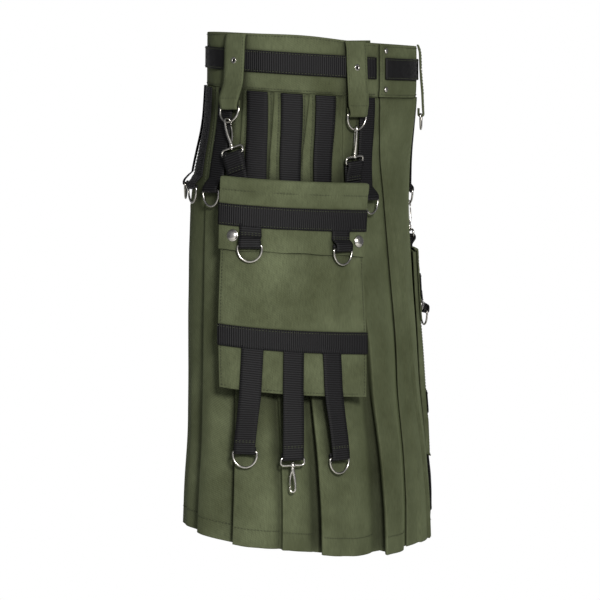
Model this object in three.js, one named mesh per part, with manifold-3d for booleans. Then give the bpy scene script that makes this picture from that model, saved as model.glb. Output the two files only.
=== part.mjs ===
// Utility kilt: pleated twill wrap with webbing strips, belt loops and two hung pockets.
// Millimetres, +Z up. The wearer faces -Y and the wearer's right side is -X.
// The origin is the centre of the waistband, at the middle of its height.
// A point on the cloth is given by an angle, a height and a stand-off. The angle is 0 at the
// front and grows round the wearer's right side, to 180 at the middle of the back.
import * as THREE from 'three';
import { mergeVertices } from 'three/addons/utils/BufferGeometryUtils.js';
import Module from 'manifold-3d';

const wasm = await Module();
wasm.setup();

// Cloth, webbing and wire
const CLOTH = 1.6;
const BAND_CLOTH = 2.4;
const WEBBING = 1.5;
const WEBBING_WIDTH = 24;
const WIRE = 2.4;
const SEAM = 0.3;

// Heights down the garment, measured on the tilted waist plane
const BAND_TOP = 30;
const BAND_BOTTOM = -29;
const BAND_SIDE_RISE = 3;
const HEM = -540;
const STRIP_END = -132;

// Body sections: half width to the side, depth to the front and to the back, then how the plane
// tilts down to the front and leans down to the wearer's left
const SECTIONS = [
  { z: 34, side: 150, front: 110, back: 110, tilt: 0.072, lean: 0 },
  { z: -28, side: 150, front: 110, back: 110, tilt: 0.074, lean: 0 },
  { z: -74, side: 158, front: 100, back: 111, tilt: 0.078, lean: 0 },
  { z: -97, side: 164, front: 94, back: 116, tilt: 0.080, lean: 0 },
  { z: -132, side: 171, front: 90, back: 124, tilt: 0.084, lean: 0 },
  { z: -167, side: 175, front: 87.5, back: 127, tilt: 0.087, lean: -0.003 },
  { z: -225, side: 178, front: 88, back: 126, tilt: 0.093, lean: -0.0134 },
  { z: -271, side: 180, front: 89, back: 123, tilt: 0.098, lean: -0.0215 },
  { z: -364, side: 184, front: 94, back: 119, tilt: 0.108, lean: -0.0381 },
  { z: -434, side: 187, front: 104, back: 118, tilt: 0.116, lean: -0.0506 },
  { z: -492, side: 191, front: 109, back: 122, tilt: 0.122, lean: -0.0609 },
  { z: -543, side: 195, front: 110, back: 122, tilt: 0.128, lean: -0.07 },
  { z: -620, side: 200, front: 112, back: 124, tilt: 0.132, lean: -0.0837 },
];

// How far each fold edge lifts and how deep the cloth runs back under it, down the garment.
// A negative depth is a sewn-down step.
const PLEATS = [
  { z: -29.3, lift: 1.6, under: -1.8 },
  { z: -62, lift: 1.6, under: -1.8 },
  { z: -97, lift: 1.6, under: -1.8 },
  { z: -132, lift: 1.6, under: -1.8 },
  { z: -190, lift: 3.0, under: -1.4 },
  { z: -245, lift: 5.0, under: -0.8 },
  { z: -290, lift: 7.0, under: 0 },
  { z: -340, lift: 7.6, under: 4 },
  { z: -400, lift: 8.0, under: 8 },
  { z: -470, lift: 8.4, under: 11 },
  { z: HEM, lift: 8.8, under: 13 },
];

// Fold edges of the right half, from the apron round to the back: angle at four heights
const RIGHT_FOLDS = [
  { waist: 17, hip: -2, knee: -11, hem: -6, size: 1.0 },
  { waist: 38.5, hip: 25, knee: 14.5, hem: 13, size: 1.6 },
  { waist: 56, hip: 52, knee: 48, hem: 44.5, size: 1.25 },
  { waist: 75, hip: 70, knee: 64, hem: 62, size: 0.5 },
  { waist: 94, hip: 91, knee: 88, hem: 87, size: 1.0 },
  { waist: 118, hip: 113, knee: 110, hem: 110, size: 1.0 },
  { waist: 137, hip: 135, knee: 133, hem: 133, size: 0.9 },
  { waist: 157, hip: 156, knee: 155, hem: 155, size: 0.9 },
  { waist: 176, hip: 176, knee: 176, hem: 176, size: 0.8 },
];

// Fold edges of the left half, mirrored: angle to the wearer's left
const LEFT_FOLDS = [
  { waist: 40, hip: 39, knee: 42, hem: 44, size: 0.8 },
  { waist: 58, hip: 56, knee: 56, hem: 57, size: 0.75 },
  { waist: 75, hip: 73, knee: 71, hem: 70, size: 0.7 },
  { waist: 94, hip: 91, knee: 89, hem: 88, size: 0.75 },
  { waist: 118, hip: 113, knee: 110, hem: 110, size: 0.75 },
  { waist: 137, hip: 135, knee: 133, hem: 133, size: 0.9 },
  { waist: 157, hip: 156, knee: 155, hem: 155, size: 0.9 },
  { waist: 176, hip: 176, knee: 176, hem: 176, size: 0.8 },
];

// Folds that fan out from the apron's right edge, and the layer that each one steps up to
const FAN_FOLDS = [
  { waist: 17, hip: -2, knee: -11, hem: -6, rise: 2.6 },
  { waist: 14.5, hip: -6, knee: -18, hem: -20, rise: 5.2 },
  { waist: 12, hip: -9.5, knee: -24, hem: -38, rise: 7.8 },
];

// Webbing strips on the fell: side of the body, angle at the top and at the end, ring or plain
const STRIPS = [
  { side: 1, top: 25, end: 13.5, ring: true },
  { side: 1, top: 48, end: 40, ring: false },
  { side: 1, top: 65.5, end: 58, ring: false },
  { side: 1, top: 84.5, end: 78.5, ring: false },
  { side: 1, top: 105.5, end: 105, ring: true },
  { side: 1, top: 126, end: 122, ring: true },
  { side: 1, top: 147, end: 145, ring: true },
  { side: 1, top: 166.5, end: 165.5, ring: true },
  { side: -1, top: 49, end: 47.5, ring: false },
  { side: -1, top: 66.5, end: 64.5, ring: true },
  { side: -1, top: 84.5, end: 82, ring: false },
  { side: -1, top: 105.5, end: 104, ring: true },
  { side: -1, top: 126, end: 124, ring: true },
  { side: -1, top: 147, end: 145, ring: true },
  { side: -1, top: 166.5, end: 165.5, ring: true },
];

// Belt loops, and the rings that hang from them
const BELT_LOOPS = [
  { name: 'right_front', angle: 31 },
  { name: 'right_rear', angle: 99 },
  { name: 'left_front', angle: -31 },
  { name: 'left_rear', angle: -99 },
];
const LOOP_WIDTH = 29;
const LOOP_FOLD_WIDTH = 23.8;
const RING_CLEAR = 2.2;
const RING_OUT = 9.2;
const LOOP_BAR_Z = -49;
const STRIP_BAR_Z = -143;

// D-rings, snap hooks and their swivel bars
const RING_WIDTH = 29.4;
const RING_HEIGHT = 20;
const HOOK_WIDTH = 9.8;
const HOOK_LENGTH = 30;
const HOOK_TURN = 30;
const BAR_HEIGHT = 10.8;
const KNUCKLE_IN = 2.05;

// Pockets: the right one hangs from the loops' rings, the left one lower, from strip rings.
// Back and front are stand-offs; reach is how the pleats below push the pocket out.
const POCKETS = [
  {
    name: 'right', side: 1, middle: 58.5, drop: 0, rings: [31, 99], bars: [26.5, 93], barZ: LOOP_BAR_Z,
    back: { middle: 5.2, edge: 8.2 }, front: { middle: 15, edge: 21.5 },
    reach: { slope: 1.25, less: 3.2 }, tailOut: 16,
  },
  {
    name: 'left', side: -1, middle: 84, drop: -85, rings: [64.5, 104], bars: [63, 106], barZ: STRIP_BAR_Z,
    back: { middle: 4.6, edge: 4.6 }, front: { middle: 16.5, edge: 9.4 },
    reach: { slope: 0.78, less: 1.8 }, tailOut: 14.6,
  },
];
const POCKET_HALF = 36;
const POCKET_CORNER = 2;
const POCKET_TAPER = 0.08;
const POCKET_TOP = -127;
const POCKET_BOTTOM = -362;
const FLAP_BOTTOM = -204;
const FLAP_BAND_TOP = -154;
const LOWER_BAND_TOP = -290;
const FLAP_STRAPS = [-23.8, 21.2];
const FLAP_STRAP_END = -199;
const STUDS = { offset: [-33, 29.8], z: -189, radius: 6.5, height: 3.2 };
const TAILS = [
  { top: -18.4, end: -20.8, z: -432 },
  { top: 0.2, end: 0.7, z: -434 },
  { top: 19.8, end: 22.4, z: -432 },
];

// Finishes
const TWILL = new THREE.MeshStandardMaterial({ color: 0x55603a, roughness: 0.9 });
const BLACK_WEBBING = new THREE.MeshStandardMaterial({ color: 0x1d1e22, roughness: 0.75 });
const NICKEL = new THREE.MeshStandardMaterial({ color: 0xb9bbbd, roughness: 0.3, metalness: 1 });

const kilt = new THREE.Group();
const radians = THREE.MathUtils.degToRad;

function between(rows, z, column) {
  const at = rows.findIndex((row) => row.z <= z);
  if (at <= 0) return rows[at < 0 ? rows.length - 1 : 0][column];
  const above = rows[at - 1];
  const below = rows[at];
  const part = (above.z - z) / (above.z - below.z);
  return THREE.MathUtils.lerp(above[column], below[column], part);
}

function foldAngle(fold, z) {
  const stops = [
    { z: BAND_BOTTOM, angle: fold.waist },
    { z: -150, angle: fold.hip },
    { z: -300, angle: fold.knee },
    { z: HEM, angle: fold.hem },
  ];
  return between(stops, z, 'angle');
}

// The outward direction of the body's section at an angle and a height
function outward(angle, z) {
  const t = radians(angle);
  const side = between(SECTIONS, z, 'side');
  const depth = between(SECTIONS, z, Math.cos(t) > 0 ? 'front' : 'back');
  return new THREE.Vector3(-Math.sin(t) * depth, -Math.cos(t) * side, 0).normalize();
}

// A point of the body at an angle and a height, moved out
function spot(angle, z, out) {
  const t = radians(angle);
  const side = between(SECTIONS, z, 'side');
  const depth = between(SECTIONS, z, Math.cos(t) > 0 ? 'front' : 'back');
  const point = new THREE.Vector3(-side * Math.sin(t), -depth * Math.cos(t), z);
  point.addScaledVector(outward(angle, z), out);
  point.z += between(SECTIONS, z, 'tilt') * point.y + between(SECTIONS, z, 'lean') * point.x;
  return point;
}

// Degrees round the body for each millimetre along it, at a stand-off
function turnPerMillimetre(angle, z, out = 0) {
  return 1 / spot(angle - 0.5, z, out).distanceTo(spot(angle + 0.5, z, out));
}

// Moves a line of points sideways in plan by half a wall, with mitred corners
function offsetLine(line, distance) {
  return line.map((point, i) => {
    const before = line[Math.max(i - 1, 0)];
    const after = line[Math.min(i + 1, line.length - 1)];
    const arriving = new THREE.Vector2(point.x - before.x, point.y - before.y).normalize();
    const leaving = new THREE.Vector2(after.x - point.x, after.y - point.y).normalize();
    if (i === 0) arriving.copy(leaving);
    if (i === line.length - 1) leaving.copy(arriving);
    const across = new THREE.Vector2(arriving.y + leaving.y, -arriving.x - leaving.x).normalize();
    const cosine = Math.max(across.x * arriving.y - across.y * arriving.x, 0.6);
    const moved = point.clone();
    moved.x += (across.x * distance) / cosine;
    moved.y += (across.y * distance) / cosine;
    return moved;
  });
}

function signedVolume(points, faces) {
  let total = 0;
  for (let i = 0; i < faces.length; i += 3) {
    const [a, b, c] = [points[faces[i]], points[faces[i + 1]], points[faces[i + 2]]];
    total += a.dot(new THREE.Vector3().crossVectors(b, c));
  }
  return total;
}

function solidFrom(points, faces) {
  if (signedVolume(points, faces) < 0) faces.reverse();
  const geometry = new THREE.BufferGeometry().setFromPoints(points);
  geometry.setIndex(faces);
  return geometry;
}

// A wall between two matching grids of points, closed along its four edges
function wallBetween(outer, inner) {
  const rows = outer.length;
  const columns = outer[0].length;
  const points = [...outer.flat(), ...inner.flat()];
  const back = rows * columns;
  const faces = [];
  const quad = (a, b, c, d) => faces.push(a, b, c, a, c, d);
  for (let i = 0; i < rows - 1; i += 1) {
    for (let j = 0; j < columns - 1; j += 1) {
      const a = i * columns + j;
      quad(a, a + 1, a + columns + 1, a + columns);
      quad(back + a, back + a + columns, back + a + columns + 1, back + a + 1);
    }
    const start = i * columns;
    const end = start + columns - 1;
    quad(start, start + columns, back + start + columns, back + start);
    quad(end, back + end, back + end + columns, end + columns);
  }
  for (let j = 0; j < columns - 1; j += 1) {
    const last = (rows - 1) * columns + j;
    quad(j, back + j, back + j + 1, j + 1);
    quad(last, last + 1, back + last + 1, back + last);
  }
  return solidFrom(points, faces);
}

// Cloth from rows of lines: each line is the middle of the wall at one height
function cloth(lines, thickness) {
  const outer = lines.map((line) => offsetLine(line, thickness / 2));
  const inner = lines.map((line) => offsetLine(line, -thickness / 2));
  return wallBetween(outer, inner);
}

// Cloth that lies on the body between two stand-offs, over a grid of angles and heights
function layer(angles, heights, inside, thickness) {
  const grid = (extra) => heights.map((z) => angles(z).map((a) => spot(a, z, inside(a, z) + extra)));
  return wallBetween(grid(thickness), grid(0));
}

function spread(from, to, count) {
  return Array.from({ length: count }, (unused, i) => from + ((to - from) * i) / (count - 1));
}

// Boolean joins
function toSolid(geometry) {
  const plain = geometry.clone();
  plain.deleteAttribute('normal');
  plain.deleteAttribute('uv');
  const merged = mergeVertices(plain, 1e-4);
  const mesh = new wasm.Mesh({
    numProp: 3,
    vertProperties: new Float32Array(merged.attributes.position.array),
    triVerts: new Uint32Array(merged.index.array),
  });
  return new wasm.Manifold(mesh);
}

function fromSolid(solid) {
  const mesh = solid.getMesh();
  const geometry = new THREE.BufferGeometry();
  geometry.setAttribute('position', new THREE.BufferAttribute(mesh.vertProperties, 3));
  geometry.setIndex(new THREE.BufferAttribute(mesh.triVerts, 1));
  return geometry;
}

function joined(...geometries) {
  return fromSolid(geometries.map(toSolid).reduce((whole, next) => whole.add(next)));
}

function cut(geometry, tool) {
  return fromSolid(toSolid(geometry).subtract(toSolid(tool)));
}

function add(name, geometry, material) {
  const mesh = new THREE.Mesh(geometry, material);
  mesh.name = name;
  kilt.add(mesh);
}

// Places a shape drawn on the body's section: x outward, y up, and z along the body
function profilePlace(angle, z) {
  const out = outward(angle, z);
  const along = new THREE.Vector3().crossVectors(out, new THREE.Vector3(0, 0, 1));
  const place = new THREE.Matrix4().makeBasis(out, new THREE.Vector3(0, 0, 1), along);
  return place.setPosition(spot(angle, z, 0));
}

// Places a shape drawn on a plate: x along the body, y up, and z inward
function platePlace(angle, z, out) {
  const outwardAxis = outward(angle, z);
  const along = new THREE.Vector3().crossVectors(outwardAxis, new THREE.Vector3(0, 0, 1));
  const inwardAxis = outwardAxis.clone().negate();
  const place = new THREE.Matrix4().makeBasis(along, new THREE.Vector3(0, 0, 1), inwardAxis);
  return place.setPosition(spot(angle, z, 0).addScaledVector(outwardAxis, out));
}

// A strip of cloth seen edge on: its middle line is given as stand-off and height
function bentStrip(path, thickness, width) {
  const line = path.map(([out, z]) => new THREE.Vector3(out, z, 0));
  const left = offsetLine(line, thickness / 2);
  const right = offsetLine(line, -thickness / 2).reverse();
  const outline = [...left, ...right].map((p) => new THREE.Vector2(p.x, p.y));
  const shape = new THREE.Shape(outline);
  const geometry = new THREE.ExtrudeGeometry(shape, { depth: width, bevelEnabled: false });
  return geometry.translate(0, 0, -width / 2);
}

// The fold round a bar: down the front, round the bar and a little way up behind it
function foldRound(out, z, inside, thickness, tailLength) {
  const radius = inside + thickness / 2;
  const turn = spread(0, 180, 6).map((a) => [
    out + radius * Math.cos(radians(a)),
    z - radius * Math.sin(radians(a)),
  ]);
  return [...turn, [out - radius, z + tailLength]];
}

// Hardware outlines
function wirePlate(outline, hole, thickness) {
  const shape = new THREE.Shape(outline);
  shape.holes.push(new THREE.Path(hole));
  const geometry = new THREE.ExtrudeGeometry(shape, { depth: thickness, bevelEnabled: false });
  return geometry.translate(0, 0, -thickness / 2);
}

// A D outline whose straight side is at the top
function dOutline(halfWidth, top, shoulder, bottom, steps) {
  const arc = spread(0, 180, steps).map((a) => {
    const x = halfWidth * Math.cos(radians(a));
    const y = shoulder - (shoulder - bottom) * Math.sin(radians(a));
    return new THREE.Vector2(x, y);
  });
  return [new THREE.Vector2(-halfWidth, top), new THREE.Vector2(halfWidth, top), ...arc].reverse();
}

// The D-ring: the middle of its bar is at the origin
function dRing() {
  const half = RING_WIDTH / 2;
  const bottom = WIRE / 2 - RING_HEIGHT;
  const shoulder = -3;
  const outline = dOutline(half, WIRE / 2, shoulder, bottom, 8);
  const hole = dOutline(half - WIRE, -WIRE / 2, shoulder, bottom + WIRE, 8);
  return wirePlate(outline, hole, WIRE);
}

function stadium(width, top, bottom) {
  const radius = width / 2;
  const cap = (from, y) => spread(from, from + 180, 5).map((a) => {
    const x = radius * Math.cos(radians(a));
    return new THREE.Vector2(x, y + radius * Math.sin(radians(a)));
  });
  return [...cap(0, top - radius), ...cap(180, bottom + radius)];
}

function rectangle(width, top, bottom) {
  const half = width / 2;
  const corners = [[half, top], [-half, top], [-half, bottom], [half, bottom]];
  return corners.map(([x, y]) => new THREE.Vector2(x, y));
}

function post(radius, top, bottom) {
  const geometry = new THREE.CylinderGeometry(radius, radius, top - bottom, 8);
  return geometry.translate(0, (top + bottom) / 2, 0);
}

// The hook's loop, from its top to its bottom
function hookLoop(top, bottom) {
  const outline = stadium(HOOK_WIDTH, top, bottom);
  const hole = stadium(HOOK_WIDTH - 2 * WIRE + 0.8, top - WIRE + 0.4, bottom + WIRE - 0.4);
  return wirePlate(outline, hole, WIRE);
}

function swivelFrame() {
  const outline = rectangle(RING_WIDTH, WIRE / 2, WIRE / 2 - BAR_HEIGHT);
  const hole = rectangle(RING_WIDTH - 2 * WIRE, -WIRE / 2, 1.5 * WIRE - BAR_HEIGHT);
  return wirePlate(outline, hole, WIRE);
}

// Waistband: the inner end passes under the outer end at the front
const INNER_END = -14;
const OVERLAP_START = -24;
const APRON_EDGE = 17;
const OVERLAP_OUT = BAND_CLOTH + 0.5;

const BAND_ANGLES = [...spread(INNER_END, 298, 33), ...spread(306, 328, 4), ...spread(334, 345, 4)];
BAND_ANGLES.push(...spread(352, 360 + APRON_EDGE, 5));

function bandOut(angle) {
  return OVERLAP_OUT * THREE.MathUtils.smoothstep(angle, 360 + OVERLAP_START, 360 + INNER_END - 2);
}

function bandTop(angle) {
  return BAND_TOP + BAND_SIDE_RISE * Math.max(0, Math.sin(radians(angle))) ** 2;
}

function waistband() {
  const line = (height) => BAND_ANGLES.map((a) => spot(a, height(a), bandOut(a)));
  return cloth([line(bandTop), line(() => 0), line(() => BAND_BOTTOM)], BAND_CLOTH);
}

function waistWebbing() {
  const within = BAND_ANGLES.filter((a) => a > APRON_EDGE + 3 && a < 360 + APRON_EDGE - 3);
  const angles = [APRON_EDGE + 2, ...within, 360 + APRON_EDGE - 2];
  const inside = (a) => bandOut(a) + BAND_CLOTH / 2 + SEAM;
  return layer(() => angles, [15, -9], inside, WEBBING);
}

// One panel, from under the fold edge before it to its own fold edge and the turn beneath
function panel(fold, nextFold, z) {
  const from = foldAngle(fold, z);
  const to = foldAngle(nextFold, z);
  const lift = foldLift(nextFold, z);
  const turn = Math.min(2.6, lift / 3);
  const under = underDepth(nextFold, z);
  const perMillimetre = turnPerMillimetre(to, z);
  const rising = [0.35, 0.72].map((part) => ({
    angle: THREE.MathUtils.lerp(from, to, part),
    out: lift * (1 - (1 - part) ** 2),
  }));
  return [
    panelStart(fold, z),
    { angle: from + (2.4 - Math.min(0, underDepth(fold, z))) * turnPerMillimetre(from, z), out: 0 },
    ...rising,
    { angle: to, out: lift },
    { angle: to + (Math.max(0, -under) / 3) * perMillimetre, out: lift - turn },
    { angle: to - (under > 0 ? under : (2 * under) / 3) * perMillimetre, out: turn },
  ];
}

// The stitched fell is even; the free folds below it differ in fullness
function foldLift(fold, z) {
  const stitched = PLEATS[0].lift;
  return stitched + (between(PLEATS, z, 'lift') - stitched) * fold.size;
}

function underDepth(fold, z) {
  const depth = between(PLEATS, z, 'under');
  return fold.size < 0.75 ? Math.min(depth, 0) : depth;
}

function panelStart(fold, z) {
  const angle = foldAngle(fold, z);
  return { angle: angle - underDepth(fold, z) * turnPerMillimetre(angle, z), out: 0 };
}

function pleatedHalf(folds, side) {
  const lines = PLEATS.map(({ z }) => {
    const stations = folds.slice(0, -1).flatMap((fold, i) => panel(fold, folds[i + 1], z));
    const last = folds[folds.length - 1];
    const seam = 180 - (SEAM / 2) * turnPerMillimetre(180, z);
    stations.push(panelStart(last, z), { angle: (foldAngle(last, z) + 1.5 * seam) / 2.5, out: 0 });
    stations.push({ angle: seam, out: 0 });
    return stations.map(({ angle, out }) => spot(side * angle, z, out));
  });
  return cloth(side > 0 ? lines : lines.map((line) => line.reverse()), CLOTH);
}

// Apron: a folded left edge, the flat front, and the fan of folds down to its free right edge
function apron() {
  const [free, middle, top] = FAN_FOLDS;
  const lines = PLEATS.map(({ z, lift }) => {
    const opened = THREE.MathUtils.smoothstep(-z, 60, 240);
    const rise = (fold) => THREE.MathUtils.lerp(2.4, fold.rise, opened);
    const left = LEFT_FOLDS[0];
    const edge = -foldAngle(left, z);
    const under = underDepth(left, z);
    const turn = Math.min(2.6, lift / 3);
    const perMillimetre = turnPerMillimetre(edge, z);
    const step = 2 * perMillimetre;
    const [freeAt, middleAt, topAt] = [free, middle, top].map((fold) => foldAngle(fold, z));
    const upper = Math.max(topAt, edge + 8);
    const stations = [
      { angle: edge + (under > 0 ? under : (2 * under) / 3) * perMillimetre, out: turn },
      { angle: edge - (Math.max(0, -under) / 3) * perMillimetre, out: lift - turn },
      { angle: edge, out: lift },
      ...[0.25, 0.5, 0.75].map((part) => ({
        angle: THREE.MathUtils.lerp(edge, upper, part),
        out: Math.max(THREE.MathUtils.lerp(lift, rise(top), part), 2.4),
      })),
      { angle: upper, out: rise(top) },
      { angle: upper + step, out: rise(middle) },
      { angle: (upper + step + middleAt) / 2, out: rise(middle) + 0.2 * opened },
      { angle: middleAt, out: rise(middle) },
      { angle: middleAt + step, out: rise(free) },
      { angle: (middleAt + step + freeAt) / 2, out: rise(free) + 0.2 * opened },
      { angle: freeAt, out: rise(free) },
    ];
    return stations.map(({ angle, out }) => spot(angle, z, out));
  });
  return cloth(lines, CLOTH);
}

// Under apron: the hidden end of the wrap, in line with the right half
function underApron() {
  const lines = PLEATS.map(({ z }) => {
    const start = panelStart(RIGHT_FOLDS[0], z).angle - SEAM * turnPerMillimetre(0, z);
    const end = Math.max(-28, -foldAngle(LEFT_FOLDS[0], z) + 8);
    return spread(end, start, 6).map((angle) => spot(angle, z, 0));
  });
  return cloth(lines, CLOTH);
}

// Strips lie over the highest stitched fold; the ring end stands away from the cloth
const STRIP_IN = 2.9;
const STRIP_TOP = BAND_BOTTOM - 0.8;
const STRIP_KNUCKLE_IN = 1.0;
const STRIP_TAIL = 2.5;

function stripAngle(strip, z) {
  const part = (BAND_BOTTOM - z) / (BAND_BOTTOM - STRIP_BAR_Z);
  return strip.side * THREE.MathUtils.lerp(strip.top, strip.end, part);
}

function strip(row) {
  const angles = (z) => {
    const middle = stripAngle(row, z);
    const half = (WEBBING_WIDTH / 2) * turnPerMillimetre(middle, z);
    return [middle - half, middle, middle + half];
  };
  const heights = [STRIP_TOP, -62, -97, STRIP_END, ...(row.ring ? [] : [STRIP_BAR_Z])];
  const flat = layer(angles, heights, () => STRIP_IN, WEBBING);
  if (!row.ring) return flat;
  const angle = stripAngle(row, STRIP_BAR_Z);
  const lying = STRIP_IN + WEBBING / 2;
  const fold = foldRound(RING_OUT, 0, STRIP_KNUCKLE_IN, WEBBING, STRIP_TAIL);
  const above = STRIP_END - STRIP_BAR_Z;
  const path = [[lying, above + 4], [lying + 0.2, above + 0.5], [fold[0][0], 4], ...fold];
  const end3d = bentStrip(path, WEBBING, WEBBING_WIDTH - 0.4);
  end3d.applyMatrix4(profilePlace(angle, STRIP_BAR_Z));
  const ring = dRing().applyMatrix4(platePlace(angle, STRIP_BAR_Z, RING_OUT));
  return joined(flat, end3d, ring);
}

// Moves stand-offs and heights into the frame of the section at another height
function onBody(angle, frameZ, path) {
  const frame = profilePlace(angle, frameZ).invert();
  return path.map(([out, z]) => {
    const point = spot(angle, z, out).applyMatrix4(frame);
    return [point.x, point.y];
  });
}

// A belt loop stands off the waistband: stand-off and height down its length
const LOOP_PATH = [[2.5, 31], [2.9, 26], [7.6, 21], [8.6, 14], [8.6, -24]];
const LOOP_TAIL = 7;

function beltLoop(angle) {
  const fold = foldRound(RING_OUT, 0, KNUCKLE_IN, CLOTH, LOOP_TAIL);
  const path = onBody(angle, LOOP_BAR_Z, LOOP_PATH);
  const front = [...path, [fold[0][0], 11], [fold[0][0], RING_CLEAR]];
  const round = [[fold[0][0], 11], ...fold];
  const wide = bentStrip(front, CLOTH, LOOP_WIDTH);
  const narrow = bentStrip(round, CLOTH, LOOP_FOLD_WIDTH);
  return joined(wide, narrow).applyMatrix4(profilePlace(angle, LOOP_BAR_Z));
}

// A plate frame from its top point towards its lower point: x along the body, y up
function plateBetween(top, bottom, angle, z) {
  const up = top.clone().sub(bottom).normalize();
  const along = new THREE.Vector3().crossVectors(outward(angle, z), new THREE.Vector3(0, 0, 1));
  along.addScaledVector(up, -along.dot(up)).normalize();
  const inwardAxis = new THREE.Vector3().crossVectors(along, up);
  return new THREE.Matrix4().makeBasis(along, up, inwardAxis).setPosition(top);
}

// The frame of a ring whose bar is at a height; a ring in use leans along the hip
function ringFrame(angle, barZ, leanTo) {
  const upright = platePlace(angle, barZ, RING_OUT);
  if (!leanTo) return upright;
  const bar = new THREE.Vector3().setFromMatrixPosition(upright);
  const foot = spot(angle, leanTo, RING_OUT);
  const reach = foot.clone().sub(bar).dot(outward(angle, barZ));
  const level = bar.clone().addScaledVector(outward(angle, barZ), reach).setZ(foot.z);
  return plateBetween(bar, level, angle, barZ);
}

// How far below the loops' bars the hooks' swivel rails lie
const HOOK_DROP = 57;

function hangingRing(angle) {
  const leanTo = angle > 0 ? LOOP_BAR_Z - HOOK_DROP : null;
  return dRing().applyMatrix4(ringFrame(angle, LOOP_BAR_Z, leanTo));
}

// Pockets: the panel's facets are shared by everything that lies on it
const POCKET_ROWS = [POCKET_TOP, -167, FLAP_BOTTOM, -252, -300, POCKET_BOTTOM + 8, POCKET_BOTTOM];
const POCKET_COLUMNS = spread(-POCKET_HALF, POCKET_HALF, 9);

// How far the folds reach out under a pocket, beyond the stitched fell
function pleatReach(pocket, z) {
  const { slope, less } = pocket.reach;
  return Math.max(0, between(PLEATS, z + pocket.drop, 'lift') * slope - less);
}

function bowed(stops, offset) {
  const part = Math.min(1, Math.abs(offset) / POCKET_HALF) ** 2;
  return THREE.MathUtils.lerp(stops.middle, stops.edge, part);
}

// The empty panel bellies out below the flap
const BELLY = { top: -200, bottom: -370, out: 2.2 };

function pocketFrontOut(pocket, offset, z) {
  const down = THREE.MathUtils.clamp((z - BELLY.top) / (BELLY.bottom - BELLY.top), 0, 1);
  const fullness = BELLY.out * Math.sin(Math.PI * down);
  return bowed(pocket.front, offset) + fullness + pleatReach(pocket, z);
}

function pocketBackOut(pocket, offset, z) {
  return bowed(pocket.back, offset) + pleatReach(pocket, z);
}

// The panel keeps its width while the hips widen, so its angles narrow down it
function tapered(offset, z) {
  const down = THREE.MathUtils.clamp((POCKET_TOP - z) / (POCKET_TOP - POCKET_BOTTOM), 0, 1);
  return offset * (1 - POCKET_TAPER * down);
}

function pocketSpot(pocket, offset, z, out) {
  return spot(pocket.side * (pocket.middle + tapered(offset, z)), z + pocket.drop, out);
}

function segment(stops, value) {
  const falling = stops[0] > stops[1];
  const passed = (stop) => (falling ? stop >= value : stop <= value);
  const last = stops.length - 2;
  const index = THREE.MathUtils.clamp(stops.filter(passed).length - 1, 0, last);
  return { index, part: (value - stops[index]) / (stops[index + 1] - stops[index]) };
}

// A point on the facets of the pocket's front, moved out
function frontPoint(pocket, offset, z, extra) {
  const row = segment(POCKET_ROWS, z);
  const column = segment(POCKET_COLUMNS, offset);
  const corner = (i, j) => {
    const [at, height] = [POCKET_COLUMNS[column.index + j], POCKET_ROWS[row.index + i]];
    return pocketSpot(pocket, at, height, pocketFrontOut(pocket, at, height) + extra);
  };
  const upper = corner(0, 0).lerp(corner(0, 1), column.part);
  return upper.lerp(corner(1, 0).lerp(corner(1, 1), column.part), row.part);
}

function pocketBody(pocket) {
  const back = POCKET_HALF + POCKET_CORNER;
  const loopAt = (z, shrink) => {
    const turn = turnPerMillimetre(pocket.side * pocket.middle, z + pocket.drop) * shrink;
    const frontLine = POCKET_COLUMNS.map((offset, i) => {
      const pulled = i === 0 ? offset + turn : offset - (i === 8 ? turn : 0);
      return pocketSpot(pocket, pulled, z, pocketFrontOut(pocket, offset, z) - shrink);
    });
    const backLine = spread(back - turn, -back + turn, 9).map((offset) =>
      pocketSpot(pocket, offset, z, pocketBackOut(pocket, offset, z) + shrink));
    return [...frontLine, ...backLine];
  };
  const outer = POCKET_ROWS.map((z) => loopAt(z, 0));
  const last = POCKET_ROWS.length - 1;
  const inner = POCKET_ROWS.map((z, i) => loopAt(i === last ? z + CLOTH : z, CLOTH));
  return joined(pouch(outer, inner), hanger(pocket, 0), hanger(pocket, 1));
}

// A pouch from two stacks of loops, open at the top and closed at the bottom
function pouch(outer, inner) {
  const rows = outer.length;
  const count = outer[0].length;
  const points = [...outer.flat(), ...inner.flat()];
  const back = rows * count;
  const faces = [];
  const quad = (a, b, c, d) => faces.push(a, b, c, a, c, d);
  for (let j = 0; j < count; j += 1) {
    const next = (j + 1) % count;
    for (let i = 0; i < rows - 1; i += 1) {
      const [row, below] = [i * count, (i + 1) * count];
      quad(row + j, row + next, below + next, below + j);
      quad(back + row + j, back + below + j, back + below + next, back + row + next);
    }
    quad(j, back + j, back + next, next);
  }
  const floor = (rows - 1) * count;
  for (let j = 0; j < count / 2 - 1; j += 1) {
    const other = count - 1 - j;
    quad(floor + j, floor + j + 1, floor + other - 1, floor + other);
    const deep = back + floor;
    quad(deep + j, deep + other, deep + other - 1, deep + j + 1);
  }
  return solidFrom(points, faces);
}

// The snap hook hangs from the lowest point of its ring; its rail holds the pocket's webbing
const WIRE_TO_RAIL = 39;

function hookFrame(pocket, i) {
  const ringAngle = pocket.side * pocket.rings[i];
  const barAngle = pocket.side * pocket.bars[i];
  const leanTo = pocket.side > 0 ? LOOP_BAR_Z - HOOK_DROP : null;
  const ring = ringFrame(ringAngle, pocket.barZ, leanTo);
  const hold = new THREE.Vector3(0, WIRE + 0.2 - RING_HEIGHT, 0).applyMatrix4(ring);
  const below = spot(barAngle, pocket.barZ - HOOK_DROP, RING_OUT);
  return plateBetween(hold, below, barAngle, pocket.barZ - HOOK_DROP);
}

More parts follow.
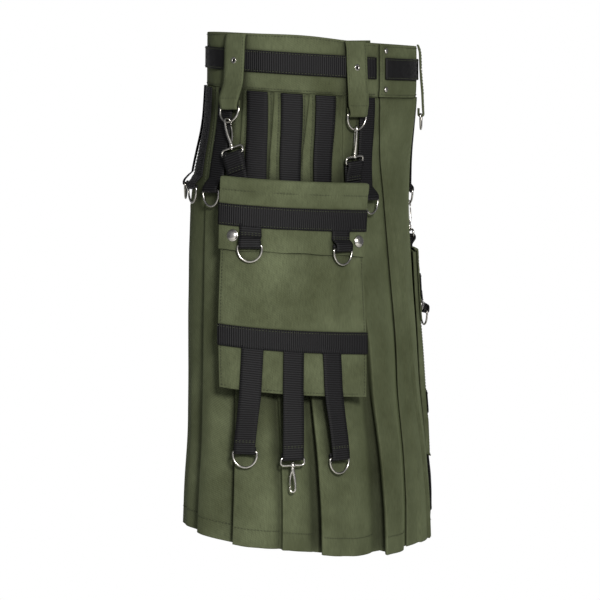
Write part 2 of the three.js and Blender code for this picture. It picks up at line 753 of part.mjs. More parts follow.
function pocketHook(pocket, i) {
  const top = 5.4;
  const turn = radians(90 - HOOK_TURN) * pocket.side;
  const loop = hookLoop(top, top - HOOK_LENGTH).rotateY(turn);
  const neck = post(1.7, top - HOOK_LENGTH + 1.2, BAR_HEIGHT - WIRE_TO_RAIL - 2);
  const frame = swivelFrame().rotateZ(Math.PI).translate(0, -WIRE_TO_RAIL, 0);
  return joined(loop, neck, frame).applyMatrix4(hookFrame(pocket, i));
}

// The webbing goes over the rail from behind and down to the pocket's back panel
function hanger(pocket, i) {
  const frame = hookFrame(pocket, i);
  const turned = new THREE.Matrix4().makeBasis(
    new THREE.Vector3(0, 0, -1),
    new THREE.Vector3(0, 1, 0),
    new THREE.Vector3(1, 0, 0),
  ).setPosition(0, -WIRE_TO_RAIL, 0);
  frame.multiply(turned);
  const inverse = frame.clone().invert();
  const offset = pocket.bars[i] - pocket.middle;
  const reach = (down) => {
    const z = POCKET_TOP - down;
    const out = pocketBackOut(pocket, offset, Math.min(z, POCKET_TOP)) - 0.2;
    const point = pocketSpot(pocket, offset, z, out).applyMatrix4(inverse);
    return [point.x, point.y];
  };
  const radius = KNUCKLE_IN + WEBBING / 2;
  const over = spread(0, 180, 6).map((a) => [radius * Math.cos(radians(a)), radius * Math.sin(radians(a))]);
  const path = [[radius, -4], ...over, [-radius, -2], reach(-1), reach(9)];
  return bentStrip(path, WEBBING, WEBBING_WIDTH).applyMatrix4(frame);
}

// The flap's back edge stands half way between the pocket's back and front
const FLAP_CREST = POCKET_TOP + SEAM + 0.6;
const FLAP_DIP = 2;
const FLAP_OVERHANG = 0.6;

function pocketFlap(pocket) {
  const offsets = [-POCKET_HALF - FLAP_OVERHANG, ...POCKET_COLUMNS.slice(1, -1), POCKET_HALF + FLAP_OVERHANG];
  const grid = (raise) => {
    const lift = new THREE.Vector3(0, 0, FLAP_CREST - POCKET_TOP + raise);
    const over = [0, 0.5, 1].map((part) => offsets.map((offset) => {
      const outs = [pocketBackOut(pocket, offset, POCKET_TOP), pocketFrontOut(pocket, offset, POCKET_TOP)];
      const back = pocketSpot(pocket, offset, POCKET_TOP, (outs[0] + outs[1]) / 2);
      const front = frontPoint(pocket, offset, POCKET_TOP, SEAM + (part === 1 ? raise : 0));
      return back.lerp(front, part).add(lift);
    }));
    const down = POCKET_ROWS.slice(1, 3).map((z, i) => offsets.map((offset) => {
      const dip = i === 1 ? FLAP_DIP * (offset / POCKET_HALF) ** 2 : 0;
      return frontPoint(pocket, offset, z, SEAM + raise).add(new THREE.Vector3(0, 0, -dip));
    }));
    return [...over, ...down];
  };
  return wallBetween(grid(CLOTH), grid(0));
}

const FLAP_OUT = SEAM + CLOTH + SEAM;

// Webbing on the pocket's front, over a grid of offsets and heights
function onFront(pocket, offsets, heights, extra) {
  const grid = (more) => heights.map((z) => offsets.map((o) => frontPoint(pocket, o, z, extra + more)));
  return wallBetween(grid(WEBBING), grid(0));
}

function columnsWithin(from, to) {
  return [from, ...POCKET_COLUMNS.filter((offset) => offset > from && offset < to), to];
}

function rowsWithin(from, to) {
  return [from, ...POCKET_ROWS.filter((z) => z < from && z > to), to];
}

// A strap down a pocket: it lies on the panel, then hangs and folds round the bar at its end
const STRAP_LIFT = 0.9;
const STRAP_TAIL = 5;

function strapDown(pocket, tail, from, lieTo, extra) {
  const at = pocket.side * (pocket.middle + tail.top);
  const half = (WEBBING_WIDTH / 2) * turnPerMillimetre(at, lieTo + pocket.drop, pocket.front.edge);
  const columns = columnsWithin(tail.top - half, tail.top + half);
  const lying = onFront(pocket, columns, rowsWithin(from, lieTo), extra);
  const angle = pocket.side * (pocket.middle + tail.end);
  const frame = profilePlace(angle, tail.z + pocket.drop);
  const inverse = frame.clone().invert();
  const local = (z) => {
    const point = frontPoint(pocket, tail.top, z, extra + WEBBING / 2).applyMatrix4(inverse);
    return [point.x + STRAP_LIFT, point.y];
  };
  const fold = foldRound(tail.out, 0, KNUCKLE_IN, WEBBING, STRAP_TAIL);
  const leave = local(lieTo);
  const path = [local(lieTo + 4), leave, [fold[0][0], Math.min(6, leave[1] - 5)], ...fold];
  return [lying, bentStrip(path, WEBBING, WEBBING_WIDTH).applyMatrix4(frame)];
}

// A flap's ring stands this far in front of the flap's webbing
const FLAP_RING_OUT = KNUCKLE_IN + WEBBING + 0.8;

function flapTail(pocket, offset) {
  const end = tapered(offset, FLAP_STRAP_END);
  const angle = pocket.side * (pocket.middle + end);
  const inverse = profilePlace(angle, FLAP_STRAP_END + pocket.drop).invert();
  const lying = frontPoint(pocket, offset, FLAP_STRAP_END, FLAP_OUT).applyMatrix4(inverse).x;
  return { top: offset, end, z: FLAP_STRAP_END, out: lying + FLAP_RING_OUT };
}

function flapWebbing(pocket) {
  const rows = rowsWithin(FLAP_BAND_TOP, FLAP_BAND_TOP - WEBBING_WIDTH);
  const inner = POCKET_COLUMNS.slice(1, -1);
  const columns = [-POCKET_HALF - FLAP_OVERHANG, ...inner, POCKET_HALF + FLAP_OVERHANG];
  const band = onFront(pocket, columns, rows, FLAP_OUT);
  const from = FLAP_BAND_TOP - WEBBING_WIDTH + 2;
  const straps = FLAP_STRAPS.flatMap((offset) =>
    strapDown(pocket, flapTail(pocket, offset), from, FLAP_STRAP_END + 12, FLAP_OUT));
  return joined(band, ...straps);
}

function hangingTail(pocket, tail) {
  return { ...tail, out: pocket.tailOut };
}

function lowerWebbing(pocket) {
  const rows = rowsWithin(LOWER_BAND_TOP, LOWER_BAND_TOP - WEBBING_WIDTH);
  const band = onFront(pocket, columnsWithin(-POCKET_HALF, POCKET_HALF), rows, SEAM);
  const from = LOWER_BAND_TOP - WEBBING_WIDTH + 2;
  const straps = TAILS.flatMap((tail) =>
    strapDown(pocket, hangingTail(pocket, tail), from, POCKET_BOTTOM - 8, SEAM));
  return joined(band, ...straps);
}

function tailPlace(pocket, tail) {
  const angle = pocket.side * (pocket.middle + tail.end);
  return platePlace(angle, tail.z + pocket.drop, tail.out);
}

// The swivel at the end of the middle strap: a frame with a bored boss, and the hook's headed pin
const BOSS = { radius: 3.2, top: -6.4, bottom: -10.2 };
const PIN = { radius: 0.95, head: 2.2, headTop: -4.9, headBottom: -6.1, collarTop: -10.5 };

function tailBar(pocket) {
  const boss = post(BOSS.radius, BOSS.top, BOSS.bottom);
  const bore = post(PIN.radius + SEAM, BOSS.top + 1, BOSS.bottom - 1);
  const bar = cut(joined(swivelFrame(), boss), bore);
  return bar.applyMatrix4(tailPlace(pocket, hangingTail(pocket, TAILS[1])));
}

function tailHook(pocket) {
  const loopTop = PIN.collarTop - 1.5;
  const loop = hookLoop(loopTop, loopTop - HOOK_LENGTH + 3).rotateY(radians(-25) * pocket.side);
  const pin = post(PIN.radius, PIN.headBottom + 0.4, loopTop - 1);
  const head = post(PIN.head, PIN.headTop, PIN.headBottom);
  const collar = post(1.9, PIN.collarTop, loopTop - 1);
  const hook = joined(loop, pin, head, collar);
  return hook.applyMatrix4(tailPlace(pocket, hangingTail(pocket, TAILS[1])));
}

// A dome that stands on the cloth, given by its base and its height
function dome(radius, height, place) {
  const profile = [[0, 0], [radius, 0], [radius, height * 0.35], [radius * 0.72, height * 0.85]];
  const points = [...profile, [0, height]].map(([x, y]) => new THREE.Vector2(x, y));
  const geometry = new THREE.LatheGeometry(points, 10).rotateX(-Math.PI / 2);
  return geometry.applyMatrix4(place);
}

function stud(pocket, offset) {
  const point = (turn, rise) => frontPoint(pocket, offset + turn, STUDS.z + rise, FLAP_OUT + 0.1);
  const along = point(1, 0).sub(point(-1, 0)).multiplyScalar(pocket.side).normalize();
  const up = point(0, 1).sub(point(0, -1)).normalize();
  const inwardAxis = new THREE.Vector3().crossVectors(along, up).normalize();
  const upright = new THREE.Vector3().crossVectors(inwardAxis, along);
  const place = new THREE.Matrix4().makeBasis(along, upright, inwardAxis);
  return dome(STUDS.radius, STUDS.height, place.setPosition(point(0, 0)));
}

function apronSnap(z) {
  const out = OVERLAP_OUT + BAND_CLOTH / 2 + SEAM;
  return dome(3, 1.6, platePlace(APRON_EDGE - 3.5, z, out));
}

add('waistband', waistband(), TWILL);
add('waist_webbing', waistWebbing(), BLACK_WEBBING);
add('pleats_right', pleatedHalf(RIGHT_FOLDS, 1), TWILL);
add('pleats_left', pleatedHalf(LEFT_FOLDS, -1), TWILL);
add('apron', apron(), TWILL);
add('under_apron', underApron(), TWILL);
add('apron_snap_upper', apronSnap(22.5), NICKEL);
add('apron_snap_lower', apronSnap(-20.5), NICKEL);

STRIPS.forEach((row, i) => {
  const right = row.side > 0;
  const number = right ? i + 1 : i + 1 - STRIPS.filter((other) => other.side > 0).length;
  add(`strip_${right ? 'right' : 'left'}_${number}`, strip(row), BLACK_WEBBING);
});

BELT_LOOPS.forEach(({ name, angle }) => {
  add(`belt_loop_${name}`, beltLoop(angle), TWILL);
  add(`loop_ring_${name}`, hangingRing(angle), NICKEL);
});

POCKETS.forEach((pocket) => {
  const { name } = pocket;
  add(`pocket_body_${name}`, pocketBody(pocket), TWILL);
  add(`pocket_flap_${name}`, pocketFlap(pocket), TWILL);
  add(`flap_webbing_${name}`, flapWebbing(pocket), BLACK_WEBBING);
  add(`lower_webbing_${name}`, lowerWebbing(pocket), BLACK_WEBBING);
  ['front', 'rear'].forEach((end, i) => {
    add(`pocket_hook_${name}_${end}`, pocketHook(pocket, i), NICKEL);
    add(`flap_stud_${name}_${end}`, stud(pocket, STUDS.offset[i]), NICKEL);
    const flapRing = tailPlace(pocket, flapTail(pocket, FLAP_STRAPS[i]));
    add(`flap_ring_${name}_${end}`, dRing().applyMatrix4(flapRing), NICKEL);
    const tailRing = tailPlace(pocket, hangingTail(pocket, TAILS[2 * i]));
    add(`tail_ring_${name}_${end}`, dRing().applyMatrix4(tailRing), NICKEL);
  });
  add(`tail_bar_${name}`, tailBar(pocket), NICKEL);
  add(`tail_hook_${name}`, tailHook(pocket), NICKEL);
});

export default kilt;
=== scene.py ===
"""A utility kilt in olive twill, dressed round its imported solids."""

import math
from functools import lru_cache

import bmesh
import bpy
from mathutils import Matrix, Vector


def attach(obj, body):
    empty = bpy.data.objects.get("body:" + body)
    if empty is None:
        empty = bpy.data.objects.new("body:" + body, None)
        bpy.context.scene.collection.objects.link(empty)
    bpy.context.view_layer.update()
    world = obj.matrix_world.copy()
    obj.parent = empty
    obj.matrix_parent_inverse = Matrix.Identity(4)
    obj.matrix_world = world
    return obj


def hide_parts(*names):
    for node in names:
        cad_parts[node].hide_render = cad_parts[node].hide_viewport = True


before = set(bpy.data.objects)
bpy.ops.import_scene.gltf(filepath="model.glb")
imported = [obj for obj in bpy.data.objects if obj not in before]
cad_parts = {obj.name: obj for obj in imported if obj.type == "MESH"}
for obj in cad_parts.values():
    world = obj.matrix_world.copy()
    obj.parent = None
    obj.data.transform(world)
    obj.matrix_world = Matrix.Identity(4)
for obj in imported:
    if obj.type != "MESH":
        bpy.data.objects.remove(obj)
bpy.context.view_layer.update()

MM = 0.001
UP = Vector((0, 0, 1))
KILT = "kilt"

# The camera stands where the photographer's stood
VIEW_AZIMUTH = 298
VIEW_DOWN = 4.09
VIEW_DISTANCE = 3000
VIEW_HEIGHT = -57
PHOTO_SIDE = 600
FOCAL_PIXELS = 2586
AXIS_PIXELS = 13
SENSOR = 36

# Cloth, webbing and wire, in millimetres
CLOTH = 1.0
BAND_CLOTH = 2.2
WEBBING = 1.4
WEBBING_WIDTH = 24
WIRE = 2.4
HEM = -540
BAND_TOP = 30
BAND_BOTTOM = -29
STRIP_END = -132
STRIP_BAR_Z = -143
LOOP_BAR_Z = -49
RING_OUT = 9.2
STRIP_OUT = 3.65
KNUCKLE_IN = 2.05

# Body sections: height, half width, depth to the front and to the back, then how the plane
# tilts down to the front and leans down to the wearer's left
SECTIONS = [
    (34, 150, 110, 110, 0.072, 0),
    (-28, 150, 110, 110, 0.074, 0),
    (-74, 158, 100, 111, 0.078, 0),
    (-97, 164, 94, 116, 0.080, 0),
    (-132, 171, 90, 124, 0.084, 0),
    (-167, 175, 87.5, 127, 0.087, -0.003),
    (-225, 178, 88, 126, 0.093, -0.0134),
    (-271, 180, 89, 123, 0.098, -0.0215),
    (-364, 184, 94, 119, 0.108, -0.0381),
    (-434, 187, 104, 118, 0.116, -0.0506),
    (-492, 191, 109, 122, 0.122, -0.0609),
    (-543, 195, 110, 122, 0.128, -0.07),
    (-620, 200, 112, 124, 0.132, -0.0837),
]
SIDE, FRONT, BACK, TILT, LEAN = 1, 2, 3, 4, 5

# Height, how far a fold edge lifts, and how deep the cloth runs back under it
PLEATS = [
    (-29.3, 1.6, -1.8),
    (-62, 1.6, -1.8),
    (-97, 1.6, -1.8),
    (-132, 1.6, -1.8),
    (-190, 3.0, -1.4),
    (-245, 5.0, -0.8),
    (-290, 7.0, 0),
    (-340, 7.6, 4),
    (-400, 8.0, 8),
    (-470, 8.4, 11),
    (HEM, 8.8, 13),
]
LIFT, UNDER = 1, 2

# Fold edges: angle at the waist, hip, knee and hem, then fullness
RIGHT_FOLDS = [
    (17, -2, -11, -6, 1.0),
    (38.5, 25, 14.5, 13, 1.6),
    (56, 52, 48, 44.5, 1.25),
    (75, 70, 64, 62, 0.5),
    (94, 91, 88, 87, 1.0),
    (118, 113, 110, 110, 1.0),
    (137, 135, 133, 133, 0.9),
    (157, 156, 155, 155, 0.9),
    (176, 176, 176, 176, 0.8),
]
LEFT_FOLDS = [
    (40, 39, 42, 44, 0.8),
    (58, 56, 56, 57, 0.75),
    (75, 73, 71, 70, 0.7),
    (94, 91, 89, 88, 0.75),
    (118, 113, 110, 110, 0.75),
    (137, 135, 133, 133, 0.9),
    (157, 156, 155, 155, 0.9),
    (176, 176, 176, 176, 0.8),
]
FAN_FOLDS = [
    (17, -2, -11, -6, 2.6),
    (14.5, -6, -18, -20, 5.2),
    (12, -9.5, -24, -38, 7.8),
]
FULLNESS = 4

# Webbing strips: side, angle at the top, angle at the end, ring or not
STRIPS = [
    (1, 25, 13.5, True),
    (1, 48, 40, False),
    (1, 65.5, 58, False),
    (1, 84.5, 78.5, False),
    (1, 105.5, 105, True),
    (1, 126, 122, True),
    (1, 147, 145, True),
    (1, 166.5, 165.5, True),
    (-1, 49, 47.5, False),
    (-1, 66.5, 64.5, True),
    (-1, 84.5, 82, False),
    (-1, 105.5, 104, True),
    (-1, 126, 124, True),
    (-1, 147, 145, True),
    (-1, 166.5, 165.5, True),
]

# Belt loops
BELT_LOOPS = [("right_front", 31), ("right_rear", 99), ("left_front", -31), ("left_rear", -99)]
LOOP_WIDTH = 29
LOOP_FOLD_WIDTH = 24
EYELET_Z = 2
LOOP_CLOTH = 1.5

# Pockets
POCKETS = [
    dict(name="right", side=1, middle=58.5, drop=0, rings=(31, 99), bars=(26.5, 93), bar_z=LOOP_BAR_Z,
         back=(5.2, 8.2), front=(15, 21.5), slope=1.25, less=3.2, tail_out=16),
    dict(name="left", side=-1, middle=84, drop=-85, rings=(64.5, 104), bars=(63, 106), bar_z=STRIP_BAR_Z,
         back=(4.6, 4.6), front=(16.5, 9.4), slope=0.78, less=1.8, tail_out=14.6),
]
POCKET_HALF = 36
POCKET_CORNER = 2
POCKET_TAPER = 0.08
POCKET_TOP = -127
POCKET_BOTTOM = -362
FLAP_BOTTOM = -204
FLAP_OVERHANG = 0.6
FLAP_BAND_TOP = -154
LOWER_BAND_TOP = -290
FLAP_STRAPS = (-23.8, 21.2)
FLAP_STRAP_END = -199
FLAP_OUT = 2.2
LOWER_OUT = 0.3
STRAP_TUCK = 21
STUD_OFFSETS = (-33, 29.8)
STUD_Z = -189
TAILS = [(-18.4, -20.8, -432), (0.2, 0.7, -434), (19.8, 22.4, -432)]
HOOK_DROP = 57
WIRE_TO_RAIL = 39


def between(rows, z, column):
    """The value of a column at a height, on straight lines from row to row."""
    if z >= rows[0][0]:
        return rows[0][column]
    for upper, lower in zip(rows, rows[1:]):
        if z >= lower[0]:
            part = (upper[0] - z) / (upper[0] - lower[0])
            return upper[column] + (lower[column] - upper[column]) * part
    return rows[-1][column]


def eased(rows, z, column, reach):
    """The same, with its corners eased over a reach up and down."""
    steps = (-1, -0.5, 0, 0.5, 1)
    return sum(between(rows, z + reach * s, column) for s in steps) / len(steps)


def smoothstep(value, low, high):
    part = min(1, max(0, (value - low) / (high - low)))
    return part * part * (3 - 2 * part)


def lerp(a, b, part):
    return a + (b - a) * part


def bump(value, middle, reach):
    return math.exp(-((value - middle) / reach) ** 2)


def spread(start, end, count):
    return [start + (end - start) * i / (count - 1) for i in range(count)]


@lru_cache(maxsize=None)
def section(z):
    return tuple(eased(SECTIONS, z, column, 14) for column in (SIDE, FRONT, BACK, TILT, LEAN))


@lru_cache(maxsize=None)
def straight_section(z):
    return tuple(between(SECTIONS, z, column) for column in (SIDE, FRONT, BACK, TILT, LEAN))


def outward(angle, z, rows=section):
    """The direction out of the body, level."""
    t = math.radians(angle)
    side, front, back, _, _ = rows(z)
    depth = front if math.cos(t) > 0 else back
    return Vector((-math.sin(t) * depth, -math.cos(t) * side, 0)).normalized()


def spot(angle, z, out, rows=section):
    """A point of the body at an angle and a height, moved out."""
    t = math.radians(angle)
    side, front, back, tilt, lean = rows(z)
    depth = front if math.cos(t) > 0 else back
    point = Vector((-side * math.sin(t), -depth * math.cos(t), z)) + outward(angle, z, rows) * out
    point.z += tilt * point.y + lean * point.x
    return point


def firm_spot(angle, z, out):
    """A point on the sections as the hardware has them, with no easing."""
    return spot(angle, z, out, straight_section)


@lru_cache(maxsize=None)
def turn_per_mm(angle, z, out=0):
    return 1 / (spot(angle - 0.5, z, out) - spot(angle + 0.5, z, out)).length


def fold_angle(fold, z):
    stops = [(BAND_BOTTOM, fold[0]), (-150, fold[1]), (-300, fold[2]), (HEM, fold[3])]
    return eased(stops, z, 1, 30)


def plate_place(angle, z, out):
    """A frame with x along the body, y up and z inward, at a stand-off."""
    normal = outward(angle, z, straight_section)
    along = normal.cross(UP)
    place = Matrix((along, UP, -normal)).transposed().to_4x4()
    place.translation = firm_spot(angle, z, 0) + normal * out
    return place


def profile_place(angle, z):
    """A frame with x out of the body, y up and z along it."""
    normal = outward(angle, z, straight_section)
    place = Matrix((normal, UP, normal.cross(UP))).transposed().to_4x4()
    place.translation = firm_spot(angle, z, 0)
    return place


def plate_between(top, bottom, angle, z):
    """A plate frame that hangs from one point towards another."""
    upright = (top - bottom).normalized()
    along = outward(angle, z, straight_section).cross(UP)
    along = (along - upright * along.dot(upright)).normalized()
    place = Matrix((along, upright, along.cross(upright))).transposed().to_4x4()
    place.translation = top
    return place


def ring_place(angle, bar_z, lean_to):
    place = plate_place(angle, bar_z, RING_OUT)
    if lean_to is None:
        return place
    bar = place.translation.copy()
    normal = outward(angle, bar_z, straight_section)
    foot = firm_spot(angle, lean_to, RING_OUT)
    level = bar + normal * (foot - bar).dot(normal)
    level.z = foot.z
    return plate_between(bar, level, angle, bar_z)


def hook_place(pocket, i):
    side, bar_z = pocket["side"], pocket["bar_z"]
    bar_angle = side * pocket["bars"][i]
    lean_to = LOOP_BAR_Z - HOOK_DROP if side > 0 else None
    ring = ring_place(side * pocket["rings"][i], bar_z, lean_to)
    hold = ring @ Vector((0, WIRE + 0.2 - 20, 0))
    below = firm_spot(bar_angle, bar_z - HOOK_DROP, RING_OUT)
    return plate_between(hold, below, bar_angle, bar_z - HOOK_DROP)


# Materials
def colour(code):
    """A linear colour from an sRGB hex code."""
    parts = [int(code[i:i + 2], 16) / 255 for i in (1, 3, 5)]
    linear = [p / 12.92 if p <= 0.04045 else ((p + 0.055) / 1.055) ** 2.4 for p in parts]
    return (*linear, 1)


def node(tree, kind, settings=None, links=None):
    """Adds a node: settings are its sockets or properties, links lead into its sockets."""
    made = tree.nodes.new(kind)
    for key, value in (settings or {}).items():
        if isinstance(key, int) or key in made.inputs:
            made.inputs[key].default_value = value
        else:
            setattr(made, key, value)
    for key, socket in (links or {}).items():
        tree.links.new(socket, made.inputs[key])
    return made


def ramp(tree, factor, stops):
    """A colour ramp through (place, code) stops."""
    made = node(tree, "ShaderNodeValToRGB", links={"Fac": factor})
    elements = made.color_ramp.elements
    while len(elements) < len(stops):
        elements.new(0.5)
    for element, (place, code) in zip(elements, stops):
        element.position = place
        element.color = colour(code)
    return made.outputs["Color"]


def surface(name):
    material = bpy.data.materials.new(name)
    material.use_nodes = True
    tree = material.node_tree
    tree.nodes.clear()
    shader = node(tree, "ShaderNodeBsdfPrincipled")
    node(tree, "ShaderNodeOutputMaterial", links={"Surface": shader.outputs["BSDF"]})
    return material, tree, shader


def cotton_twill():
    """Cotton twill, piece-dyed olive: a fine diagonal rib, matt with a slight nap."""
    material, tree, shader = surface("cotton_twill")
    uv = node(tree, "ShaderNodeUVMap", {"uv_map": "cloth"}).outputs["UV"]
    # Twill lines 0.5 mm apart, drawn at 1.6 mm so that they show from a step away
    rib = node(tree, "ShaderNodeMapping", {"Rotation": (0, 0, math.radians(63))}, {"Vector": uv})
    lines = node(tree, "ShaderNodeTexWave", {"Scale": 1 / (1.6 * MM) / 3.18, "Distortion": 0.6,
                 "Detail": 2.0, "Detail Scale": 0.6}, {"Vector": rib.outputs[0]})
    # Slubs: threads that swell, a few millimetres long
    threads = node(tree, "ShaderNodeMapping", {"Scale": (900, 120, 1)}, {"Vector": uv})
    slub = node(tree, "ShaderNodeTexNoise", {"Scale": 1.0, "Detail": 3.0}, {"Vector": threads.outputs[0]})
    # Dye and wear drift over a hand's breadth
    place = node(tree, "ShaderNodeTexCoord").outputs["Object"]
    drift = node(tree, "ShaderNodeTexNoise", {"Scale": 16.0, "Detail": 5.0, "Roughness": 0.6},
                 {"Vector": place})
    base = ramp(tree, drift.outputs[0], [(0.28, "#434832"), (0.5, "#515740"), (0.7, "#5e654c")])
    grain = ramp(tree, slub.outputs[0], [(0.3, "#b4b4b4"), (0.6, "#ffffff")])
    worn = node(tree, "ShaderNodeMix", {"data_type": "RGBA", "blend_type": "MULTIPLY", 0: 0.45},
                {6: base, 7: grain})
    ribbed = ramp(tree, lines.outputs["Fac"], [(0.2, "#c8c8c8"), (0.7, "#ffffff")])
    woven = node(tree, "ShaderNodeMix", {"data_type": "RGBA", "blend_type": "MULTIPLY", 0: 0.4},
                 {6: worn.outputs[2], 7: ribbed})
    # Painted shade: ambient occlusion darkens the colour down in the folds and beside the seams
    fold_occlusion = node(tree, "ShaderNodeAmbientOcclusion", {"Distance": 30 * MM, "samples": 8})
    depth = ramp(tree, fold_occlusion.outputs["AO"], [(0.3, "#8a8a8a"), (0.9, "#ffffff")])
    shaded = node(tree, "ShaderNodeMix", {"data_type": "RGBA", "blend_type": "MULTIPLY", 0: 1.0},
                  {6: woven.outputs[2], 7: depth})
    tree.links.new(shaded.outputs[2], shader.inputs["Base Color"])
    relief = node(tree, "ShaderNodeMath", {"operation": "MULTIPLY_ADD", 1: 0.5},
                  {0: slub.outputs[0], 2: lines.outputs["Fac"]})
    bump = node(tree, "ShaderNodeBump", {"Strength": 0.35, "Distance": 0.25 * MM},
                {"Height": relief.outputs[0]})
    tree.links.new(bump.outputs[0], shader.inputs["Normal"])
    shader.inputs["Roughness"].default_value = 0.92
    shader.inputs["Specular IOR Level"].default_value = 0.18
    shader.inputs["Sheen Weight"].default_value = 0.16
    shader.inputs["Sheen Roughness"].default_value = 0.55
    shader.inputs["Sheen Tint"].default_value = colour("#9aa878")
    return material


def polyester_webbing():
    """Polyester webbing, woven black: crosswise ribs that catch a soft light."""
    material, tree, shader = surface("polyester_webbing")
    uv = node(tree, "ShaderNodeUVMap", {"uv_map": "cloth"}).outputs["UV"]
    # Ribs 2.5 mm apart, across the tape
    ribs = node(tree, "ShaderNodeTexWave", {"bands_direction": "Y", "Scale": 1 / (2.5 * MM) / 3.18,
                "Distortion": 0.35, "Detail": 1.0}, {"Vector": uv})
    cords = node(tree, "ShaderNodeTexWave", {"bands_direction": "X", "Scale": 1 / (1.2 * MM) / 3.18,
                 "Distortion": 0.5, "Detail": 1.0}, {"Vector": uv})
    height = node(tree, "ShaderNodeMath", {"operation": "MULTIPLY_ADD", 1: 0.35},
                  {0: cords.outputs["Fac"], 2: ribs.outputs["Fac"]})
    tone = ramp(tree, ribs.outputs["Fac"], [(0.25, "#040405"), (0.8, "#1c1c1f")])
    tree.links.new(tone, shader.inputs["Base Color"])
    bump = node(tree, "ShaderNodeBump", {"Strength": 0.8, "Distance": 0.5 * MM},
                {"Height": height.outputs[0]})
    tree.links.new(bump.outputs[0], shader.inputs["Normal"])
    shader.inputs["Roughness"].default_value = 0.62
    shader.inputs["Specular IOR Level"].default_value = 0.22
    return material


def plated_steel():
    """Steel wire and pressings, nickel plated: bright, with a faint drawn haze."""
    material, tree, shader = surface("plated_steel")
    place = node(tree, "ShaderNodeTexCoord").outputs["Object"]
    haze = node(tree, "ShaderNodeTexNoise", {"Scale": 420.0, "Detail": 4.0}, {"Vector": place})
    rough = node(tree, "ShaderNodeMapRange", {"To Min": 0.14, "To Max": 0.34}, {"Value": haze.outputs[0]})
    tree.links.new(rough.outputs[0], shader.inputs["Roughness"])
    tint = ramp(tree, haze.outputs[0], [(0.3, "#bdbab3"), (0.7, "#dedcd6")])
    tree.links.new(tint, shader.inputs["Base Color"])
    shader.inputs["Metallic"].default_value = 1
    return material


def sewing_thread():
    """Spun polyester sewing thread, twisted: its colour is painted darker than the twill as painted shade for
    the stitch grooves.
    """
    material, tree, shader = surface("sewing_thread")
    place = node(tree, "ShaderNodeTexCoord").outputs["Object"]
    twist = node(tree, "ShaderNodeTexNoise", {"Scale": 1500.0, "Detail": 2.0}, {"Vector": place})
    # Painted shade: tones darker than the twill stand in for the shade in the grooves the stitches lie in
    tone = ramp(tree, twist.outputs[0], [(0.3, "#2c3020"), (0.7, "#444a33")])
    tree.links.new(tone, shader.inputs["Base Color"])
    shader.inputs["Roughness"].default_value = 0.7
    return material


TWILL = cotton_twill()
TAPE = polyester_webbing()
NICKEL = plated_steel()
THREAD = sewing_thread()


# Making meshes
def finished(name, bm, material, body=KILT, replaced=()):
    """Turns a bmesh in millimetres into a piece that rides on a body."""
    bmesh.ops.scale(bm, vec=(MM, MM, MM), verts=bm.verts)
    mesh = bpy.data.meshes.new(name)
    bm.to_mesh(mesh)
    bm.free()
    mesh.shade_smooth()
    mesh.materials.append(material)
    piece = bpy.data.objects.new(name, mesh)
    bpy.context.scene.collection.objects.link(piece)
    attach(piece, body)
    if replaced:
        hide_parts(*replaced)
    return piece


def thicken(piece, thickness, offset=-1):
    wall = piece.modifiers.new("wall", "SOLIDIFY")
    wall.thickness = thickness * MM
    wall.offset = offset
    return piece


def cut_of(piece):
    """Hands the cloth piece back as it is."""
    return piece


def cloth_grid(rows, flip=False, closed=False):
    """A bmesh grid moved onto rows of points, with the cloth's own lengths as its UV map."""
    count, lines = len(rows[0]), len(rows)
    bm = bmesh.new()
    bmesh.ops.create_grid(bm, x_segments=count - 1, y_segments=lines - 1, size=0.5)
    lows = [min(v.co[k] for v in bm.verts) for k in (0, 1)]
    spans = [max(v.co[k] for v in bm.verts) - lows[k] for k in (0, 1)]
    place = {}
    for vert in bm.verts:
        i = round((vert.co.x - lows[0]) / spans[0] * (count - 1))
        j = round((vert.co.y - lows[1]) / spans[1] * (lines - 1))
        place[vert] = (i, j)
    across = []
    for row in rows:
        run = [0]
        for a, b in zip(row, row[1:]):
            run.append(run[-1] + (b - a).length)
        across.append(run)
    down = [0]
    middle = count // 2
    for a, b in zip(rows, rows[1:]):
        down.append(down[-1] + (b[middle] - a[middle]).length)
    layer = bm.loops.layers.uv.new("cloth")
    for face in bm.faces:
        for loop in face.loops:
            i, j = place[loop.vert]
            loop[layer].uv = (across[j][i] * MM, down[j] * MM)
    for vert, (i, j) in place.items():
        vert.co = rows[j][i]
    if flip:
        bmesh.ops.reverse_faces(bm, faces=bm.faces)
    if closed:
        bmesh.ops.remove_doubles(bm, verts=bm.verts, dist=0.01)
    return bm


def through(points, count):
    """A smooth run of points through a few, evenly along it."""
    line = [points[0] * 2 - points[1], *points, points[-1] * 2 - points[-2]]
    fine = []
    for a, b, c, d in zip(line, line[1:], line[2:], line[3:]):
        for step in range(12):
            t = step / 12
            fine.append(0.5 * ((b * 2) + (c - a) * t + (a * 2 - b * 5 + c * 4 - d) * t * t
                               + (b * 3 - a - c * 3 + d) * t ** 3))
    fine.append(points[-1].copy())
    return resampled(fine, count)


def resampled(line, count):
    run = [0]
    for a, b in zip(line, line[1:]):
        run.append(run[-1] + (b - a).length)
    result = []
    k = 0
    for want in spread(0, run[-1], count):
        while k < len(run) - 2 and run[k + 1] < want:
            k += 1
        part = (want - run[k]) / max(run[k + 1] - run[k], 1e-9)
        result.append(line[k].lerp(line[k + 1], min(1, max(0, part))))
    return result


def tape(name, centre, sideways, width, thickness, material, replaced=(), sag=None):
    """A flat tape along a line: sideways is its direction across at each point."""
    rows = []
    across = spread(-0.5, 0.5, 7)
    for k, (point, side) in enumerate(zip(centre, sideways)):
        wide = width[k] if isinstance(width, list) else width
        drop = sag[k] if sag else Vector((0, 0, 0))
        rows.append([point + side * (u * wide) - drop * (2 * u) ** 2 for u in across])
    bm = cloth_grid(rows)
    piece = finished(name, bm, material, KILT, replaced)
    return thicken(piece, thickness, 0)


